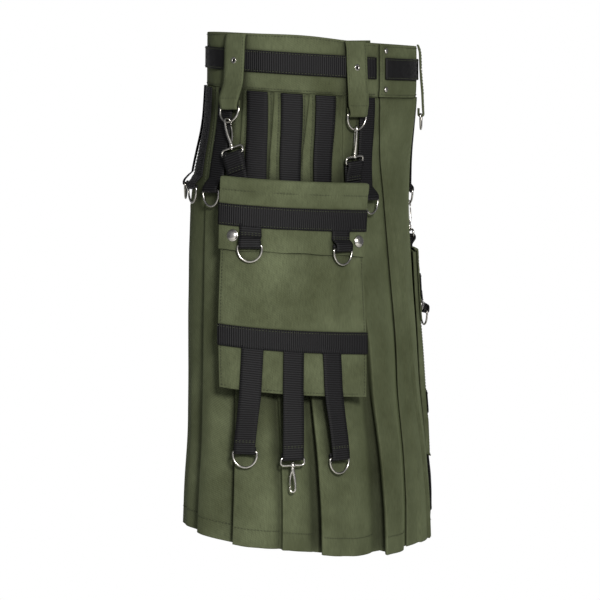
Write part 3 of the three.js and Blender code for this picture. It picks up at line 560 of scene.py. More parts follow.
def wire(name, outline, radius, place, closed=True, body=KILT, replaced=(), thick=None):
    """Round wire bent along an outline in a plate frame."""
    curve = bpy.data.curves.new(name, "CURVE")
    curve.dimensions = "3D"
    curve.bevel_depth = radius * MM
    curve.bevel_resolution = 3
    curve.use_fill_caps = not closed
    spline = curve.splines.new("POLY")
    spline.points.add(len(outline) - 1)
    spline.use_cyclic_u = closed
    for k, (point, flat) in enumerate(zip(spline.points, outline)):
        spot3 = place @ Vector((*flat, 0)) if len(flat) == 2 else place @ Vector(flat)
        point.co = (*(spot3 * MM), 1)
        if thick:
            point.radius = thick[k]
    holder = bpy.data.objects.new(name + "_line", curve)
    bpy.context.scene.collection.objects.link(holder)
    bpy.context.view_layer.update()
    mesh = bpy.data.meshes.new_from_object(holder.evaluated_get(bpy.context.evaluated_depsgraph_get()))
    bpy.data.objects.remove(holder)
    bpy.data.curves.remove(curve)
    bm = bmesh.new()
    bm.from_mesh(mesh)
    bpy.data.meshes.remove(mesh)
    bmesh.ops.scale(bm, vec=(1 / MM, 1 / MM, 1 / MM), verts=bm.verts)
    bmesh.ops.remove_doubles(bm, verts=bm.verts, dist=0.001)
    bmesh.ops.recalc_face_normals(bm, faces=bm.faces)
    return finished(name, bm, NICKEL, body, replaced)


def turned(profile, place, steps=24):
    """A bmesh spun from a profile of (radius, height) about the frame's y axis."""
    bm = bmesh.new()
    verts = [bm.verts.new((r, h, 0)) for r, h in profile]
    edges = [bm.edges.new(pair) for pair in zip(verts, verts[1:])]
    bmesh.ops.spin(bm, geom=verts + edges, axis=(0, 1, 0), cent=(0, 0, 0), angle=math.tau,
                   steps=steps, use_merge=True)
    bmesh.ops.remove_doubles(bm, verts=bm.verts, dist=0.001)
    bmesh.ops.recalc_face_normals(bm, faces=bm.faces)
    bmesh.ops.transform(bm, matrix=place, verts=bm.verts)
    return bm


# A stitch: length, width and height, and half the way to the next one
STITCH = (2.8, 0.95, 0.6)
STITCH_PITCH = 1.8


def sewn(name, runs):
    """Stitches along runs of points that lie on the cloth."""
    long, wide, high = STITCH
    bm = bmesh.new()
    for line in runs:
        length = sum((b - a).length for a, b in zip(line, line[1:]))
        points = resampled(line, max(2, round(length / STITCH_PITCH)))
        for k in range(0, len(points) - 1, 2):
            a, b = points[k], points[k + 1]
            along = (b - a).normalized()
            level = along.cross(UP)
            other = (level if level.length > 0.3 else along.cross(Vector((1, 0, 0)))).normalized()
            place = Matrix((along * long, other * wide, along.cross(other).normalized() * high))
            place = place.transposed().to_4x4()
            place.translation = (a + b) / 2
            bmesh.ops.create_icosphere(bm, subdivisions=1, radius=0.5, matrix=place)
    return finished(name, bm, THREAD)


# The camera comes first
def place_camera():
    a = math.radians(VIEW_AZIMUTH)
    back = Vector((math.sin(a), -math.cos(a), 0))
    right = (-back).cross(UP)
    off_axis = AXIS_PIXELS * VIEW_DISTANCE / FOCAL_PIXELS
    eye = back * VIEW_DISTANCE + Vector((0, 0, VIEW_HEIGHT)) - right * off_axis
    down = math.radians(VIEW_DOWN)
    forward = -back * math.cos(down) - UP * math.sin(down)
    camera = bpy.data.objects.new("camera", bpy.data.cameras.new("camera"))
    camera.data.sensor_width = SENSOR
    camera.data.lens = FOCAL_PIXELS / PHOTO_SIDE * SENSOR
    camera.data.clip_end = 30
    pose = Matrix((right, right.cross(forward), -forward)).transposed().to_4x4()
    pose.translation = eye * MM
    camera.matrix_world = pose
    bpy.context.scene.collection.objects.link(camera)
    bpy.context.scene.camera = camera


place_camera()

# Creases in the hanging cloth: side, start angle and height, end angle and
# height, half width in millimetres, and height; negative ones are troughs
CREASES = [
    (1, 30, -215, 24, -500, 9, 2.2),
    (1, 36, -390, 33, -543, 10, -3.2),
    (1, 20, -190, 8, -330, 8, -1.9),
    (1, 27, -300, 20, -470, 11, 2.4),
    (1, 54, -372, 53, -500, 9, 2.0),
    (1, 60, -380, 59, -543, 7, -2.2),
    (1, 70, -372, 68, -470, 9, 2.0),
    (1, 77, -410, 74, -543, 10, -2.4),
    (1, 83, -376, 82, -480, 7, 1.6),
    (1, 101, -150, 99, -330, 10, -1.8),
    (1, 104, -260, 101, -520, 9, 1.9),
    (1, 114, -200, 113, -420, 9, 1.6),
    (1, 128, -170, 127, -300, 8, -1.5),
    (1, 124, -330, 123, -543, 10, 2.3),
    (1, 146, -190, 145, -380, 9, 1.8),
    (1, 151, -350, 150, -543, 8, -2.0),
    (1, 168, -160, 167, -330, 8, 1.4),
    (1, 165, -380, 165, -543, 10, 2.2),
    (-1, 66, -190, 64, -360, 8, 1.8),
    (-1, 62, -330, 61, -543, 9, -2.3),
    (-1, 79, -440, 78, -543, 8, 2.0),
    (-1, 100, -160, 99, -330, 9, -1.6),
    (-1, 98, -400, 97, -543, 9, 2.3),
    (-1, 114, -190, 112, -400, 10, 1.9),
    (-1, 128, -170, 126, -310, 8, 1.5),
    (-1, 124, -350, 123, -543, 10, -2.2),
    (-1, 147, -200, 145, -400, 9, 1.9),
    (-1, 144, -420, 144, -543, 8, -1.8),
    (-1, 168, -180, 167, -350, 9, 1.5),
    (-1, 166, -390, 166, -543, 9, 2.0),
    (1, 5, -260, -3, -500, 12, 2.2),
    (1, -2, -330, -4, -543, 9, -1.9),
]
# Across the waist and over the hip, where the cloth is pulled
PULLS = [
    (1, 70, -152, 92, -172, 5, 0.7),
    (1, 95, -166, 112, -186, 5, 0.6),
    (1, 8, -95, 22, -126, 6, 0.7),
    (-1, 96, -160, 112, -178, 5, 0.7),
    (-1, 20, -70, 34, -104, 7, 0.9),
    (-1, 12, -150, 30, -196, 8, 0.8),
    (-1, 4, -230, 20, -292, 9, 0.9),
    (1, 134, -158, 150, -176, 5, 0.5),
    (-1, 134, -160, 152, -174, 5, 0.5),
]
ANGLE_MM = 2.9


def ridge(at, z, crease):
    """How much of a crease is felt at a point, from 1 on its line to 0, and how far along it."""
    a0, z0, a1, z1, width, _ = crease
    dx, dy = (a1 - a0) * ANGLE_MM, z1 - z0
    px, py = (at - a0) * ANGLE_MM, z - z0
    near = min(1, max(0, (px * dx + py * dy) / (dx * dx + dy * dy)))
    gap = math.hypot(px - dx * near, py - dy * near)
    return (math.exp(-(gap / width) ** 2) if gap < 3 * width else 0), near


def creased(side, angle, z, rows):
    """How far the creases near a point raise the cloth."""
    total = 0
    for which, *crease in rows:
        _, z0, _, z1, width, height = crease
        if which != side or z > z0 + 3 * width or z < z1 - 3 * width:
            continue
        felt, near = ridge(angle, z, crease)
        open_hem = 1 if z1 <= HEM else smoothstep(1 - near, 0, 0.35)
        total += height * felt * smoothstep(near, 0, 0.3) * open_hem
    return total


def under_depth(fold, z):
    depth = eased(PLEATS, z, UNDER, 12)
    return min(depth, 0) if fold[FULLNESS] < 0.75 else depth


def fold_lift(fold, z):
    stitched = PLEATS[0][LIFT]
    return stitched + (eased(PLEATS, z, LIFT, 12) - stitched) * fold[FULLNESS]


def panel_start(fold, z):
    angle = fold_angle(fold, z)
    return angle - under_depth(fold, z) * turn_per_mm(angle, z), 0


# How far a panel sinks at the hem where it comes out from under the pleat before it
VALLEY = 6
PANEL_PARTS = (0.14, 0.2, 0.27, 0.34, 0.42, 0.5, 0.58, 0.66, 0.74, 0.82, 0.89, 0.95)


def panel(side, number, fold, following, z):
    """Stations across one panel: angle and stand-off, to its fold edge and the turn beneath."""
    start, end = fold_angle(fold, z), fold_angle(following, z)
    lift = fold_lift(following, z)
    turn = min(2.6, lift / 3)
    under = under_depth(following, z)
    per = turn_per_mm(end, z)
    free = smoothstep(-z, 230, 520)
    sway = math.sin(number * 2.4 + side) * 0.9
    sink = VALLEY * smoothstep(-z, 260, 520) * min(1, fold[FULLNESS]) if number else 0
    stations = [(panel_start(fold, z)[0], -sink)]
    stations.append((start + (2.4 - min(0, under_depth(fold, z))) * turn_per_mm(start, z), -sink))
    for part in PANEL_PARTS:
        angle = lerp(start, end, part)
        swell = free * 2.1 * math.sin(math.pi * part * (1.5 + 0.5 * math.sin(number * 1.7))) * sway
        raised = creased(side, angle, z, CREASES) * free ** 0.5 + creased(side, angle, z, PULLS)
        inner = min(1, 3.2 * part) * min(1, (1 - part) * 4 + 0.25)
        away = (1 - part) ** 2
        stations.append((angle, lift * (1 - away) - sink * away + (swell + raised) * inner))
    stations.append((end - 0.5 * per, lift + 0.1))
    stations.append((end + 0.1 * per, lift - 0.35))
    stations.append((end + (max(0, -under) / 3 + 0.1) * per, lift - turn))
    back = under if under > 0 else 2 * under / 3
    stations.append((end - back * 0.4 * per, lerp(lift - turn, turn, 0.55)))
    stations.append((end - back * per, turn))
    return stations


CLOTH_ROWS = [BAND_BOTTOM - 0.3, *spread(-36, HEM + 1.5, 80), HEM]


def hem_dip(angle, z):
    """The hem hangs a little unevenly, lowest under the pocket's front edge."""
    return (1.2 * math.sin(math.radians(angle * 5.3)) + 3.2 * bump(angle, 34, 24)) * smoothstep(-z, 400, -HEM)


def pleated_half(name, folds, side):
    rows = []
    for z in CLOTH_ROWS:
        stations = []
        for number, (fold, following) in enumerate(zip(folds, folds[1:])):
            stations += panel(side, number, fold, following, z)
        last = folds[-1]
        seam = 180 - 0.15 * turn_per_mm(180, z)
        stations.append(panel_start(last, z))
        stations.append(((fold_angle(last, z) + 1.5 * seam) / 2.5, 0))
        stations.append((seam, 0))
        rows.append([spot(side * a, z, out - 0.3) - UP * hem_dip(a, z) for a, out in stations])
    bm = cloth_grid(rows, flip=side < 0)
    piece = finished(name, bm, TWILL, replaced=[f"pleats_{name.split('_')[1]}"])
    return cut_of(thicken(piece, CLOTH))


def apron_stations(z):
    free, middle, top = FAN_FOLDS
    lift = eased(PLEATS, z, LIFT, 12)
    opened = smoothstep(-z, 60, 240)
    left = LEFT_FOLDS[0]
    edge = -fold_angle(left, z)
    under = under_depth(left, z)
    turn = min(2.6, lift / 3)
    per = turn_per_mm(edge, z)
    step = 2 * per
    rise_top, rise_middle, rise_free = [lerp(2.4, fold[4], opened) for fold in (top, middle, free)]
    free_at, middle_at, top_at = [fold_angle(fold, z) for fold in (free, middle, top)]
    upper = max(top_at, edge + 8)
    back = under if under > 0 else 2 * under / 3
    stations = [(edge + back * per, turn), (edge - max(0, -under) / 3 * per, lift - turn), (edge, lift)]
    for part in spread(0.06, 0.95, 16):
        angle = lerp(edge, upper, part)
        raised = creased(-1 if angle < 0 else 1, abs(angle), z, CREASES + PULLS)
        sway = 0.8 * smoothstep(-z, 260, 540) * math.sin(part * 7.5)
        stations.append((angle, max(lerp(lift, rise_top, part), 2.4) + raised + sway))
    for at, rise, following in ((upper, rise_top, middle_at), (middle_at, rise_middle, free_at)):
        upper_rise = {rise_top: rise_middle, rise_middle: rise_free}[rise]
        stations.append((at, rise))
        stations.append((at + step, upper_rise))
        for part in (0.3, 0.6, 0.85):
            puff = 0.5 * opened * math.sin(part * math.pi)
            stations.append((lerp(at + step, following, part), upper_rise + puff))
    stations.append((free_at, rise_free))
    return stations


def apron():
    rows = [[spot(a, z, out - 0.3) - UP * hem_dip(a, z) for a, out in apron_stations(z)] for z in CLOTH_ROWS]
    piece = finished("apron_cloth", cloth_grid(rows), TWILL, replaced=["apron"])
    return cut_of(thicken(piece, CLOTH))


def under_apron():
    rows = []
    for z in CLOTH_ROWS:
        start = panel_start(RIGHT_FOLDS[0], z)[0] - 0.3 * turn_per_mm(0, z)
        end = max(-28, -fold_angle(LEFT_FOLDS[0], z) + 8)
        rows.append([spot(a, z, -0.3) for a in spread(end, start, 26)])
    piece = finished("under_apron_cloth", cloth_grid(rows), TWILL, replaced=["under_apron"])
    return cut_of(thicken(piece, CLOTH))


# Waistband, its webbing and its snaps
INNER_END = -14
OVERLAP_START = -24
APRON_EDGE = 17
BAND_ANGLES = spread(INNER_END, 360 + APRON_EDGE, 260)
OVERLAP_RISE = 2.9
TAPE_TOP = 15
TAPE_OUT = 2.45
SNAPS = (("upper", 22.5), ("lower", -20.5))


def band_out(angle):
    return OVERLAP_RISE * smoothstep(angle, 360 + OVERLAP_START, 360 + INNER_END - 2)


def band_top(angle):
    return BAND_TOP + 3 * max(0, math.sin(math.radians(angle))) ** 2 + 2.4 * bump(angle, 58, 22)


def band_ripple(angle, z):
    """Slight fullness between the rows of stitching."""
    t = math.radians(angle)
    return 0.28 * math.sin(9 * t + z * 0.05) * math.sin(23 * t + 1.3) + 0.15 * math.sin(41 * t - z * 0.11)


def waistband():
    rows = []
    for part in spread(0, 1, 16):
        row = []
        for a in BAND_ANGLES:
            z = lerp(band_top(a), BAND_BOTTOM, part)
            puff = 0.35 * math.sin(math.pi * part) ** 0.5
            row.append(spot(a, z, band_out(a) + 0.9 + band_ripple(a, z) * 0.6 + puff * 0.3))
        rows.append(row)
    piece = thicken(finished("waistband_cloth", cloth_grid(rows), TWILL, replaced=["waistband"]), BAND_CLOTH)
    cut_of(piece)
    edge = piece.modifiers.new("folded_edges", "BEVEL")
    edge.width = 0.7 * MM
    edge.segments = 2
    edge.limit_method = "ANGLE"
    angles = [a for a in BAND_ANGLES if APRON_EDGE + 2 <= a <= 360 + APRON_EDGE - 2]
    rows = [[spot(a, z, band_out(a) + TAPE_OUT + band_ripple(a, z) * 0.5) for a in angles]
            for z in spread(TAPE_TOP, TAPE_TOP - WEBBING_WIDTH, 7)]
    bm = cloth_grid([list(line) for line in zip(*rows)], flip=True)
    thicken(finished("waist_webbing_tape", bm, TAPE, replaced=["waist_webbing"]), WEBBING, 0)


def stud_bm(radius, height, place):
    """A domed cap with a rolled rim, its base in the frame's plane."""
    dome = [(0, height)]
    dome += [(radius * 0.8 * math.sin(a), height * (0.35 + 0.65 * math.cos(a))) for a in spread(0.3, 1.35, 5)]
    profile = [*dome, (radius * 0.86, height * 0.3), (radius, height * 0.28), (radius * 1.02, height * 0.12),
               (radius * 0.98, 0), (0, 0)]
    stand = Matrix.Rotation(math.radians(-90), 4, "X")
    return turned(profile, place @ stand, 28)


def apron_snaps():
    for name, z in SNAPS:
        place = plate_place(APRON_EDGE - 3.5, z, OVERLAP_RISE + BAND_CLOTH - 0.4)
        finished(f"snap_cap_{name}", stud_bm(3, 1.6, place), NICKEL, replaced=[f"apron_snap_{name}"])


# Webbing strips on the fell
def strip_angle(strip, z):
    side, top, end, _ = strip
    return side * lerp(top, end, (BAND_BOTTOM - z) / (BAND_BOTTOM - STRIP_BAR_Z))


def lying(angle, z, out, width):
    """The middle of a tape on the body, its direction across, and how far its edges fall away."""
    half = width / 2 * turn_per_mm(angle, z)
    low, high = spot(angle - half, z, out), spot(angle + half, z, out)
    middle = spot(angle, z, out)
    sideways = (high - low).normalized()
    return middle, sideways, middle - (low + high) / 2


def fold_round(out, inside, thickness, tail):
    """Round a bar from its front, under it and a little way up behind, in a profile frame."""
    radius = inside + thickness / 2
    turn = [(out + radius * math.cos(a), -radius * math.sin(a)) for a in spread(0, math.pi, 9)]
    return [*turn, (out - radius, tail)]


def d_outline():
    half, shoulder, low = (29.4 - WIRE) / 2, -3, -17.6
    arc = [(half * math.cos(a), shoulder + (low - shoulder) * math.sin(a)) for a in spread(0, math.pi, 27)]
    corner = [(half - 2.2 + 2.2 * math.cos(a), -2.2 + 2.2 * math.sin(a)) for a in spread(0, math.pi / 2, 6)]
    mirrored = [(-x, y) for x, y in reversed(corner)]
    return [*corner, *mirrored, *reversed(arc)]


def d_ring(name, place, body=KILT, replaced=()):
    return wire(name, d_outline(), WIRE / 2, place, body=body, replaced=replaced)


def run_on(name, upper, rest, place, squared, replaced):
    """A tape that lies on the body, then hangs, and squares up to its bar over so many points."""
    level = (place.to_3x3() @ Vector((0, 0, 1))).normalized()
    _, across, fall = upper[-1]
    if across.dot(level) < 0:
        level.negate()
    centre = [row[0] for row in upper] + rest
    sideways = [row[1] for row in upper]
    falls = [row[2] for row in upper]
    for k in range(len(rest)):
        ease = min(1, (k + 1) / squared)
        sideways.append(across.lerp(level, ease).normalized())
        falls.append(fall * (1 - ease))
    tape(name, centre, sideways, WEBBING_WIDTH, WEBBING, TAPE, replaced, falls)
    return centre, sideways


def fell_strip(name, strip):
    ring = strip[3]
    end = STRIP_END + 2 if ring else STRIP_BAR_Z
    upper = [lying(strip_angle(strip, z), z, STRIP_OUT, WEBBING_WIDTH) for z in spread(-29.8, end, 30)]
    if not ring:
        centre, sideways, falls = zip(*upper)
        return tape(f"{name}_tape", centre, sideways, WEBBING_WIDTH, WEBBING, TAPE, [name], falls)
    angle = strip_angle(strip, STRIP_BAR_Z)
    place = profile_place(angle, STRIP_BAR_Z)
    fold = fold_round(RING_OUT, 1.3, WEBBING, 2.5)
    lower = [(fold[0][0] - 3.4, 7), (fold[0][0] - 0.4, 3), *fold]
    rest = through([upper[-1][0], *[place @ Vector((x, y, 0)) for x, y in lower]], 34)[1:]
    run_on(f"{name}_tape", upper, rest, place, 6, [name])
    d_ring(f"{name}_ring", plate_place(angle, STRIP_BAR_Z, RING_OUT))


def fell_strips():
    numbers = {1: 0, -1: 0}
    for strip in STRIPS:
        numbers[strip[0]] += 1
        fell_strip(f"strip_{'right' if strip[0] > 0 else 'left'}_{numbers[strip[0]]}", strip)


# Belt loops and their rings
def belt_loop(name, angle):
    place = profile_place(angle, LOOP_BAR_Z)
    inverse = place.inverted()
    fold = fold_round(RING_OUT, KNUCKLE_IN, 1.6, 7)
    shape = [(2.3, 31.5), (3.3, 29), (4.7, 23.5), (5.2, 17), (5.6, 5), (6.6, -10), (8.2, -24)]
    line = [inverse @ spot(angle, z, out) for out, z in shape]
    points = [place @ Vector((p.x, p.y, 0)) for p in line]
    bend = [place @ Vector((x, y, 0)) for x, y in [(fold[0][0] - 0.6, 9), *fold]]
    centre = through([*points, *bend], 74)
    level = place.to_3x3() @ Vector((0, 0, 1))
    widths = [lerp(LOOP_FOLD_WIDTH, LOOP_WIDTH, smoothstep((place.inverted() @ p).y, -1, 12)) for p in centre]
    behind = [k for k, p in enumerate(centre) if k > 50 and (place.inverted() @ p).x < RING_OUT]
    for k in behind:
        widths[k] = LOOP_FOLD_WIDTH
    tape(f"{name}_cloth", centre, [level] * len(centre), widths, LOOP_CLOTH, TWILL, [name])
    eyelet_at = plate_place(angle, EYELET_Z, 0)
    near = min(centre[:50], key=lambda p: abs((eyelet_at.inverted() @ p).y))
    eyelet_at.translation = near + outward(angle, EYELET_Z) * 0.75
    rim = [(2.7 + 1.0 * math.cos(a), 0.15 + 0.55 * math.sin(a)) for a in spread(0, math.tau, 11)]
    lay_flat = Matrix.Rotation(math.radians(-90), 4, "X")
    finished(f"{name}_eyelet", turned(rim, eyelet_at @ lay_flat, 24), NICKEL)
    hole = [(0, 0.12), (1.75, 0.12), (1.75, -0.5), (0, -0.5)]
    finished(f"{name}_eyelet_hole", turned(hole, eyelet_at @ lay_flat, 20), TAPE)
    across = LOOP_WIDTH / 2 - 2
    face = outward(angle, EYELET_Z) * 0.85
    runs = []
    for side in (-across, across):
        runs.append([p + level * side + face for p in centre[3:44]])
    cross = [p for p in centre[:60] if (inverse @ p).y > 9][-1]
    runs.append([cross + level * x + face for x in spread(-across, across, 6)])
    sewn(f"{name}_stitching", runs)


def belt_loops():
    for name, angle in BELT_LOOPS:
        belt_loop(f"belt_loop_{name}", angle)
        lean_to = LOOP_BAR_Z - HOOK_DROP if angle > 0 else None
        ring = f"loop_ring_{name}"
        d_ring(f"{ring}_wire", ring_place(angle, LOOP_BAR_Z, lean_to), KILT if angle > 0 else ring, [ring])


# Pockets
def pleat_reach(pocket, z):
    return max(0, between(PLEATS, z + pocket["drop"], LIFT) * pocket["slope"] - pocket["less"])


def bowed(stops, offset):
    return lerp(*stops, min(1, abs(offset) / POCKET_HALF) ** 2)


def tapered(offset, z):
    down = min(1, max(0, (POCKET_TOP - z) / (POCKET_TOP - POCKET_BOTTOM)))
    return offset * (1 - POCKET_TAPER * down)


def pocket_spot(pocket, offset, z, out, rows=section):
    return spot(pocket["side"] * (pocket["middle"] + tapered(offset, z)), z + pocket["drop"], out, rows)


def front_out(pocket, offset, z):
    fullness = 2.2 * math.sin(math.pi * min(1, max(0, (z + 200) / -170)))
    return bowed(pocket["front"], offset) + fullness + pleat_reach(pocket, z)


def back_out(pocket, offset, z):
    return bowed(pocket["back"], offset) + pleat_reach(pocket, z)


# Gathers on a pocket: offset and height at each end, half width in millimetres, height
POCKET_CREASES = [
    (-22, -212, -17, -352, 7, 2.0),
    (-30, -206, -29, -286, 6, -1.5),
    (-12, -210, -9, -290, 9, -1.4),
    (4, -222, 8, -284, 10, 1.4),
    (19, -214, 22, -330, 9, 1.5),
    (-27, -318, -21, -360, 5, -2.1),
    (-12, -318, -15, -360, 5, 1.8),
    (10, -318, 14, -360, 6, -1.8),
    (31, -316, 30, -360, 5, 1.7),
    (-33, -318, -34, -360, 5, 1.4),
]
FLAP_CREASES = [
    (13, -139, 21, -154, 6, 2.0),
    (4, -139, 9, -152, 5, -1.2),
    (-4, -140, -8, -153, 7, 1.0),
    (27, -138, 31, -153, 5, -1.0),
    (-20, -138, -26, -153, 6, 1.2),
    (-1, -180, -3, -206, 10, 1.2),
    (8, -180, 9, -206, 7, -0.9),
    (33, -196, 29, -207, 6, 1.0),
]


def pocket_crease(offset, z, rows):
    return sum(crease[-1] * ridge(offset, z, crease)[0] for crease in rows)


def front_spot(pocket, offset, z, extra):
    return pocket_spot(pocket, offset, z, front_out(pocket, offset, z) + extra)


def held_down(z):
    """How free the panel is to crease: not at all under the sewn webbing."""
    low, high = LOWER_BAND_TOP - WEBBING_WIDTH, LOWER_BAND_TOP
    return 1 - smoothstep(z, low - 9, low - 1) * (1 - smoothstep(z, high + 1, high + 9))


POUCH_WALL = 1.3


def clear_of_straps(offset, z):
    """The cloth lies flat behind the hanging straps."""
    if z > LOWER_BAND_TOP:
        return 1
    return min(smoothstep(abs(offset - tail[0]) * ANGLE_MM, 12.5, 18) for tail in TAILS)


def pouch(pocket):
    name = pocket["name"]
    edge = POCKET_HALF + POCKET_CORNER
    side_run = [POCKET_HALF - 1, POCKET_HALF - 0.35, POCKET_HALF]
    fronts = [-o for o in reversed(side_run)] + spread(-POCKET_HALF + 2, POCKET_HALF - 2, 47) + side_run
    heights = [POCKET_TOP, *spread(POCKET_TOP - 4, POCKET_BOTTOM + 3, 58)]
    heights += [POCKET_BOTTOM + 1.2, POCKET_BOTTOM + 0.3]

    def loop_at(z, closing=0, drop=0):
        ring = []
        for o in fronts:
            inside = POCKET_HALF - abs(o)
            free = held_down(z) * min(1, inside / 5) * clear_of_straps(o, z)
            rounded = 0.5 * max(0, 1 - inside / 1.2)
            sunk = 0.45 * smoothstep(inside, 0.6, 1.1) * (1 - smoothstep(inside, 1.2, 2.3))
            crease = pocket_crease(o, z, POCKET_CREASES) * free
            ring.append((o, front_out(pocket, o, z) + crease - rounded - sunk))
        side_parts = (0.22, 0.5, 0.78)
        near = [(lerp(POCKET_HALF, edge, p) + 0.3 * math.sin(math.pi * p),
                 lerp(front_out(pocket, POCKET_HALF, z), back_out(pocket, edge, z), p)) for p in side_parts]
        ring += near
        ring += [(o, back_out(pocket, o, z)) for o in spread(edge, -edge, 25)]
        ring += [(-o, out) for o, out in reversed(near)]
        middle_out = (front_out(pocket, 0, z) + back_out(pocket, 0, z)) / 2
        points = []
        for o, out in ring:
            mid = middle_out + bowed(pocket["back"], o) - pocket["back"][0]
            points.append(pocket_spot(pocket, o, z, lerp(out, mid, closing)) - UP * drop)
        return points + points[:1]

    rows = [loop_at(z) for z in heights]
    rows += [loop_at(POCKET_BOTTOM, c, d) for c, d in ((0.05, 0), (0.3, 0.3), (0.65, 0.6), (1, 0.7))]
    bm = cloth_grid(rows, flip=pocket["side"] < 0, closed=True)
    piece = finished(f"pouch_{name}", bm, TWILL, replaced=[f"pocket_body_{name}"])
    return cut_of(thicken(piece, POUCH_WALL))


FLAP_WALL = 1.4


def flap(pocket):
    name = pocket["name"]
    wide = POCKET_HALF + FLAP_OVERHANG
    offsets = [-wide, -wide + 0.3, *spread(-wide + 1, wide - 1, 53), wide - 0.3, wide]
    top = 0.3 + 0.6
    rows = []
    for part in (0, 0.2, 0.45, 0.68, 0.84, 0.95):
        row = []
        for o in offsets:
            start = (back_out(pocket, o, POCKET_TOP) + front_out(pocket, o, POCKET_TOP)) / 2
            end = front_out(pocket, o, POCKET_TOP) + 0.3 + 1.6
            rise = top + 1.6 - 1.4 * smoothstep(part, 0.6, 1.15)
            row.append(pocket_spot(pocket, o, POCKET_TOP, lerp(start, end, part)) + UP * rise)
        rows.append(row)
    for z in [POCKET_TOP - 1.2, POCKET_TOP - 4, *spread(POCKET_TOP - 8, FLAP_BOTTOM + 1, 40), FLAP_BOTTOM]:
        row = []
        for o in offsets:
            dip = 2 * (o / POCKET_HALF) ** 2 * smoothstep(z, -150, FLAP_BOTTOM) + 0.5 * math.sin(o * 0.31)
            free = 1 - smoothstep(z, FLAP_BAND_TOP - 26, FLAP_BAND_TOP - 20) * (1 - smoothstep(z, -156, -150))
            hem = 0.5 * (1 - smoothstep(abs(z - POCKET_TOP + 11.5), 0.8, 2.6))
            raised = pocket_crease(o, z, FLAP_CREASES) * free - hem
            row.append(front_spot(pocket, o, z, 1.9 + raised) - UP * dip)
        rows.append(row)
    bm = cloth_grid(rows, flip=pocket["side"] < 0)
    piece = finished(f"flap_{name}", bm, TWILL, replaced=[f"pocket_flap_{name}"])
    cut_of(thicken(piece, FLAP_WALL))


def mend_side(pocket, bm):
    """Grids run towards the wearer's back, so that those of the left side are turned over."""
    if pocket["side"] < 0:
        bmesh.ops.reverse_faces(bm, faces=bm.faces)
    return bm


def band_across(pocket, name, z_top, half, extra, straps, replaced):
    """Webbing sewn across a pocket; it humps over the ends of the straps that start under it."""
    offsets = spread(-half, half, 90)
    rows = []
    for o in offsets:
        row = []
        for part in spread(0, 1, 9):
            z = z_top - part * WEBBING_WIDTH
            hump = 0
            for strap_at in straps:
                beside = abs(o - strap_at) * ANGLE_MM - WEBBING_WIDTH / 2
                hump = max(hump, 1.0 * smoothstep(part, 0.72, 0.92) * (1 - smoothstep(beside, 0, 2.5)))
            edge = 0.25 * smoothstep(abs(part - 0.5), 0.4, 0.5)
            row.append(front_spot(pocket, o, z, extra + WEBBING / 2 + hump - edge))
        rows.append(row)
    bm = mend_side(pocket, cloth_grid(rows, flip=True))
    piece = finished(name, bm, TAPE, replaced=[replaced])
    return thicken(piece, WEBBING, 0)


# The facets of the pocket's front, on which the CAD's straps and rings stand
POCKET_ROWS = [POCKET_TOP, -167, FLAP_BOTTOM, -252, -300, POCKET_BOTTOM + 8, POCKET_BOTTOM]
POCKET_COLUMNS = spread(-POCKET_HALF, POCKET_HALF, 9)


def facet_point(pocket, offset, z, extra):
    i = min(sum(z <= row for row in POCKET_ROWS) - 1, len(POCKET_ROWS) - 2)
    j = min(sum(offset >= column for column in POCKET_COLUMNS) - 1, len(POCKET_COLUMNS) - 2)

    def corner(di, dj):
        at, height = POCKET_COLUMNS[j + dj], POCKET_ROWS[i + di]
        return pocket_spot(pocket, at, height, front_out(pocket, at, height) + extra, straight_section)

    down = (z - POCKET_ROWS[i]) / (POCKET_ROWS[i + 1] - POCKET_ROWS[i])
    along = (offset - POCKET_COLUMNS[j]) / (POCKET_COLUMNS[j + 1] - POCKET_COLUMNS[j])
    return corner(0, 0).lerp(corner(0, 1), along).lerp(corner(1, 0).lerp(corner(1, 1), along), down)


def flap_tail(pocket, offset):
    end = tapered(offset, FLAP_STRAP_END)
    angle = pocket["side"] * (pocket["middle"] + end)
    inverse = profile_place(angle, FLAP_STRAP_END + pocket["drop"]).inverted()
    lying_at = (inverse @ facet_point(pocket, offset, FLAP_STRAP_END, FLAP_OUT)).x
    return offset, end, FLAP_STRAP_END, lying_at + KNUCKLE_IN + 1.5 + 0.8


def tail_place(pocket, tail):
    angle = pocket["side"] * (pocket["middle"] + tail[1])
    return plate_place(angle, tail[2] + pocket["drop"], tail[3])


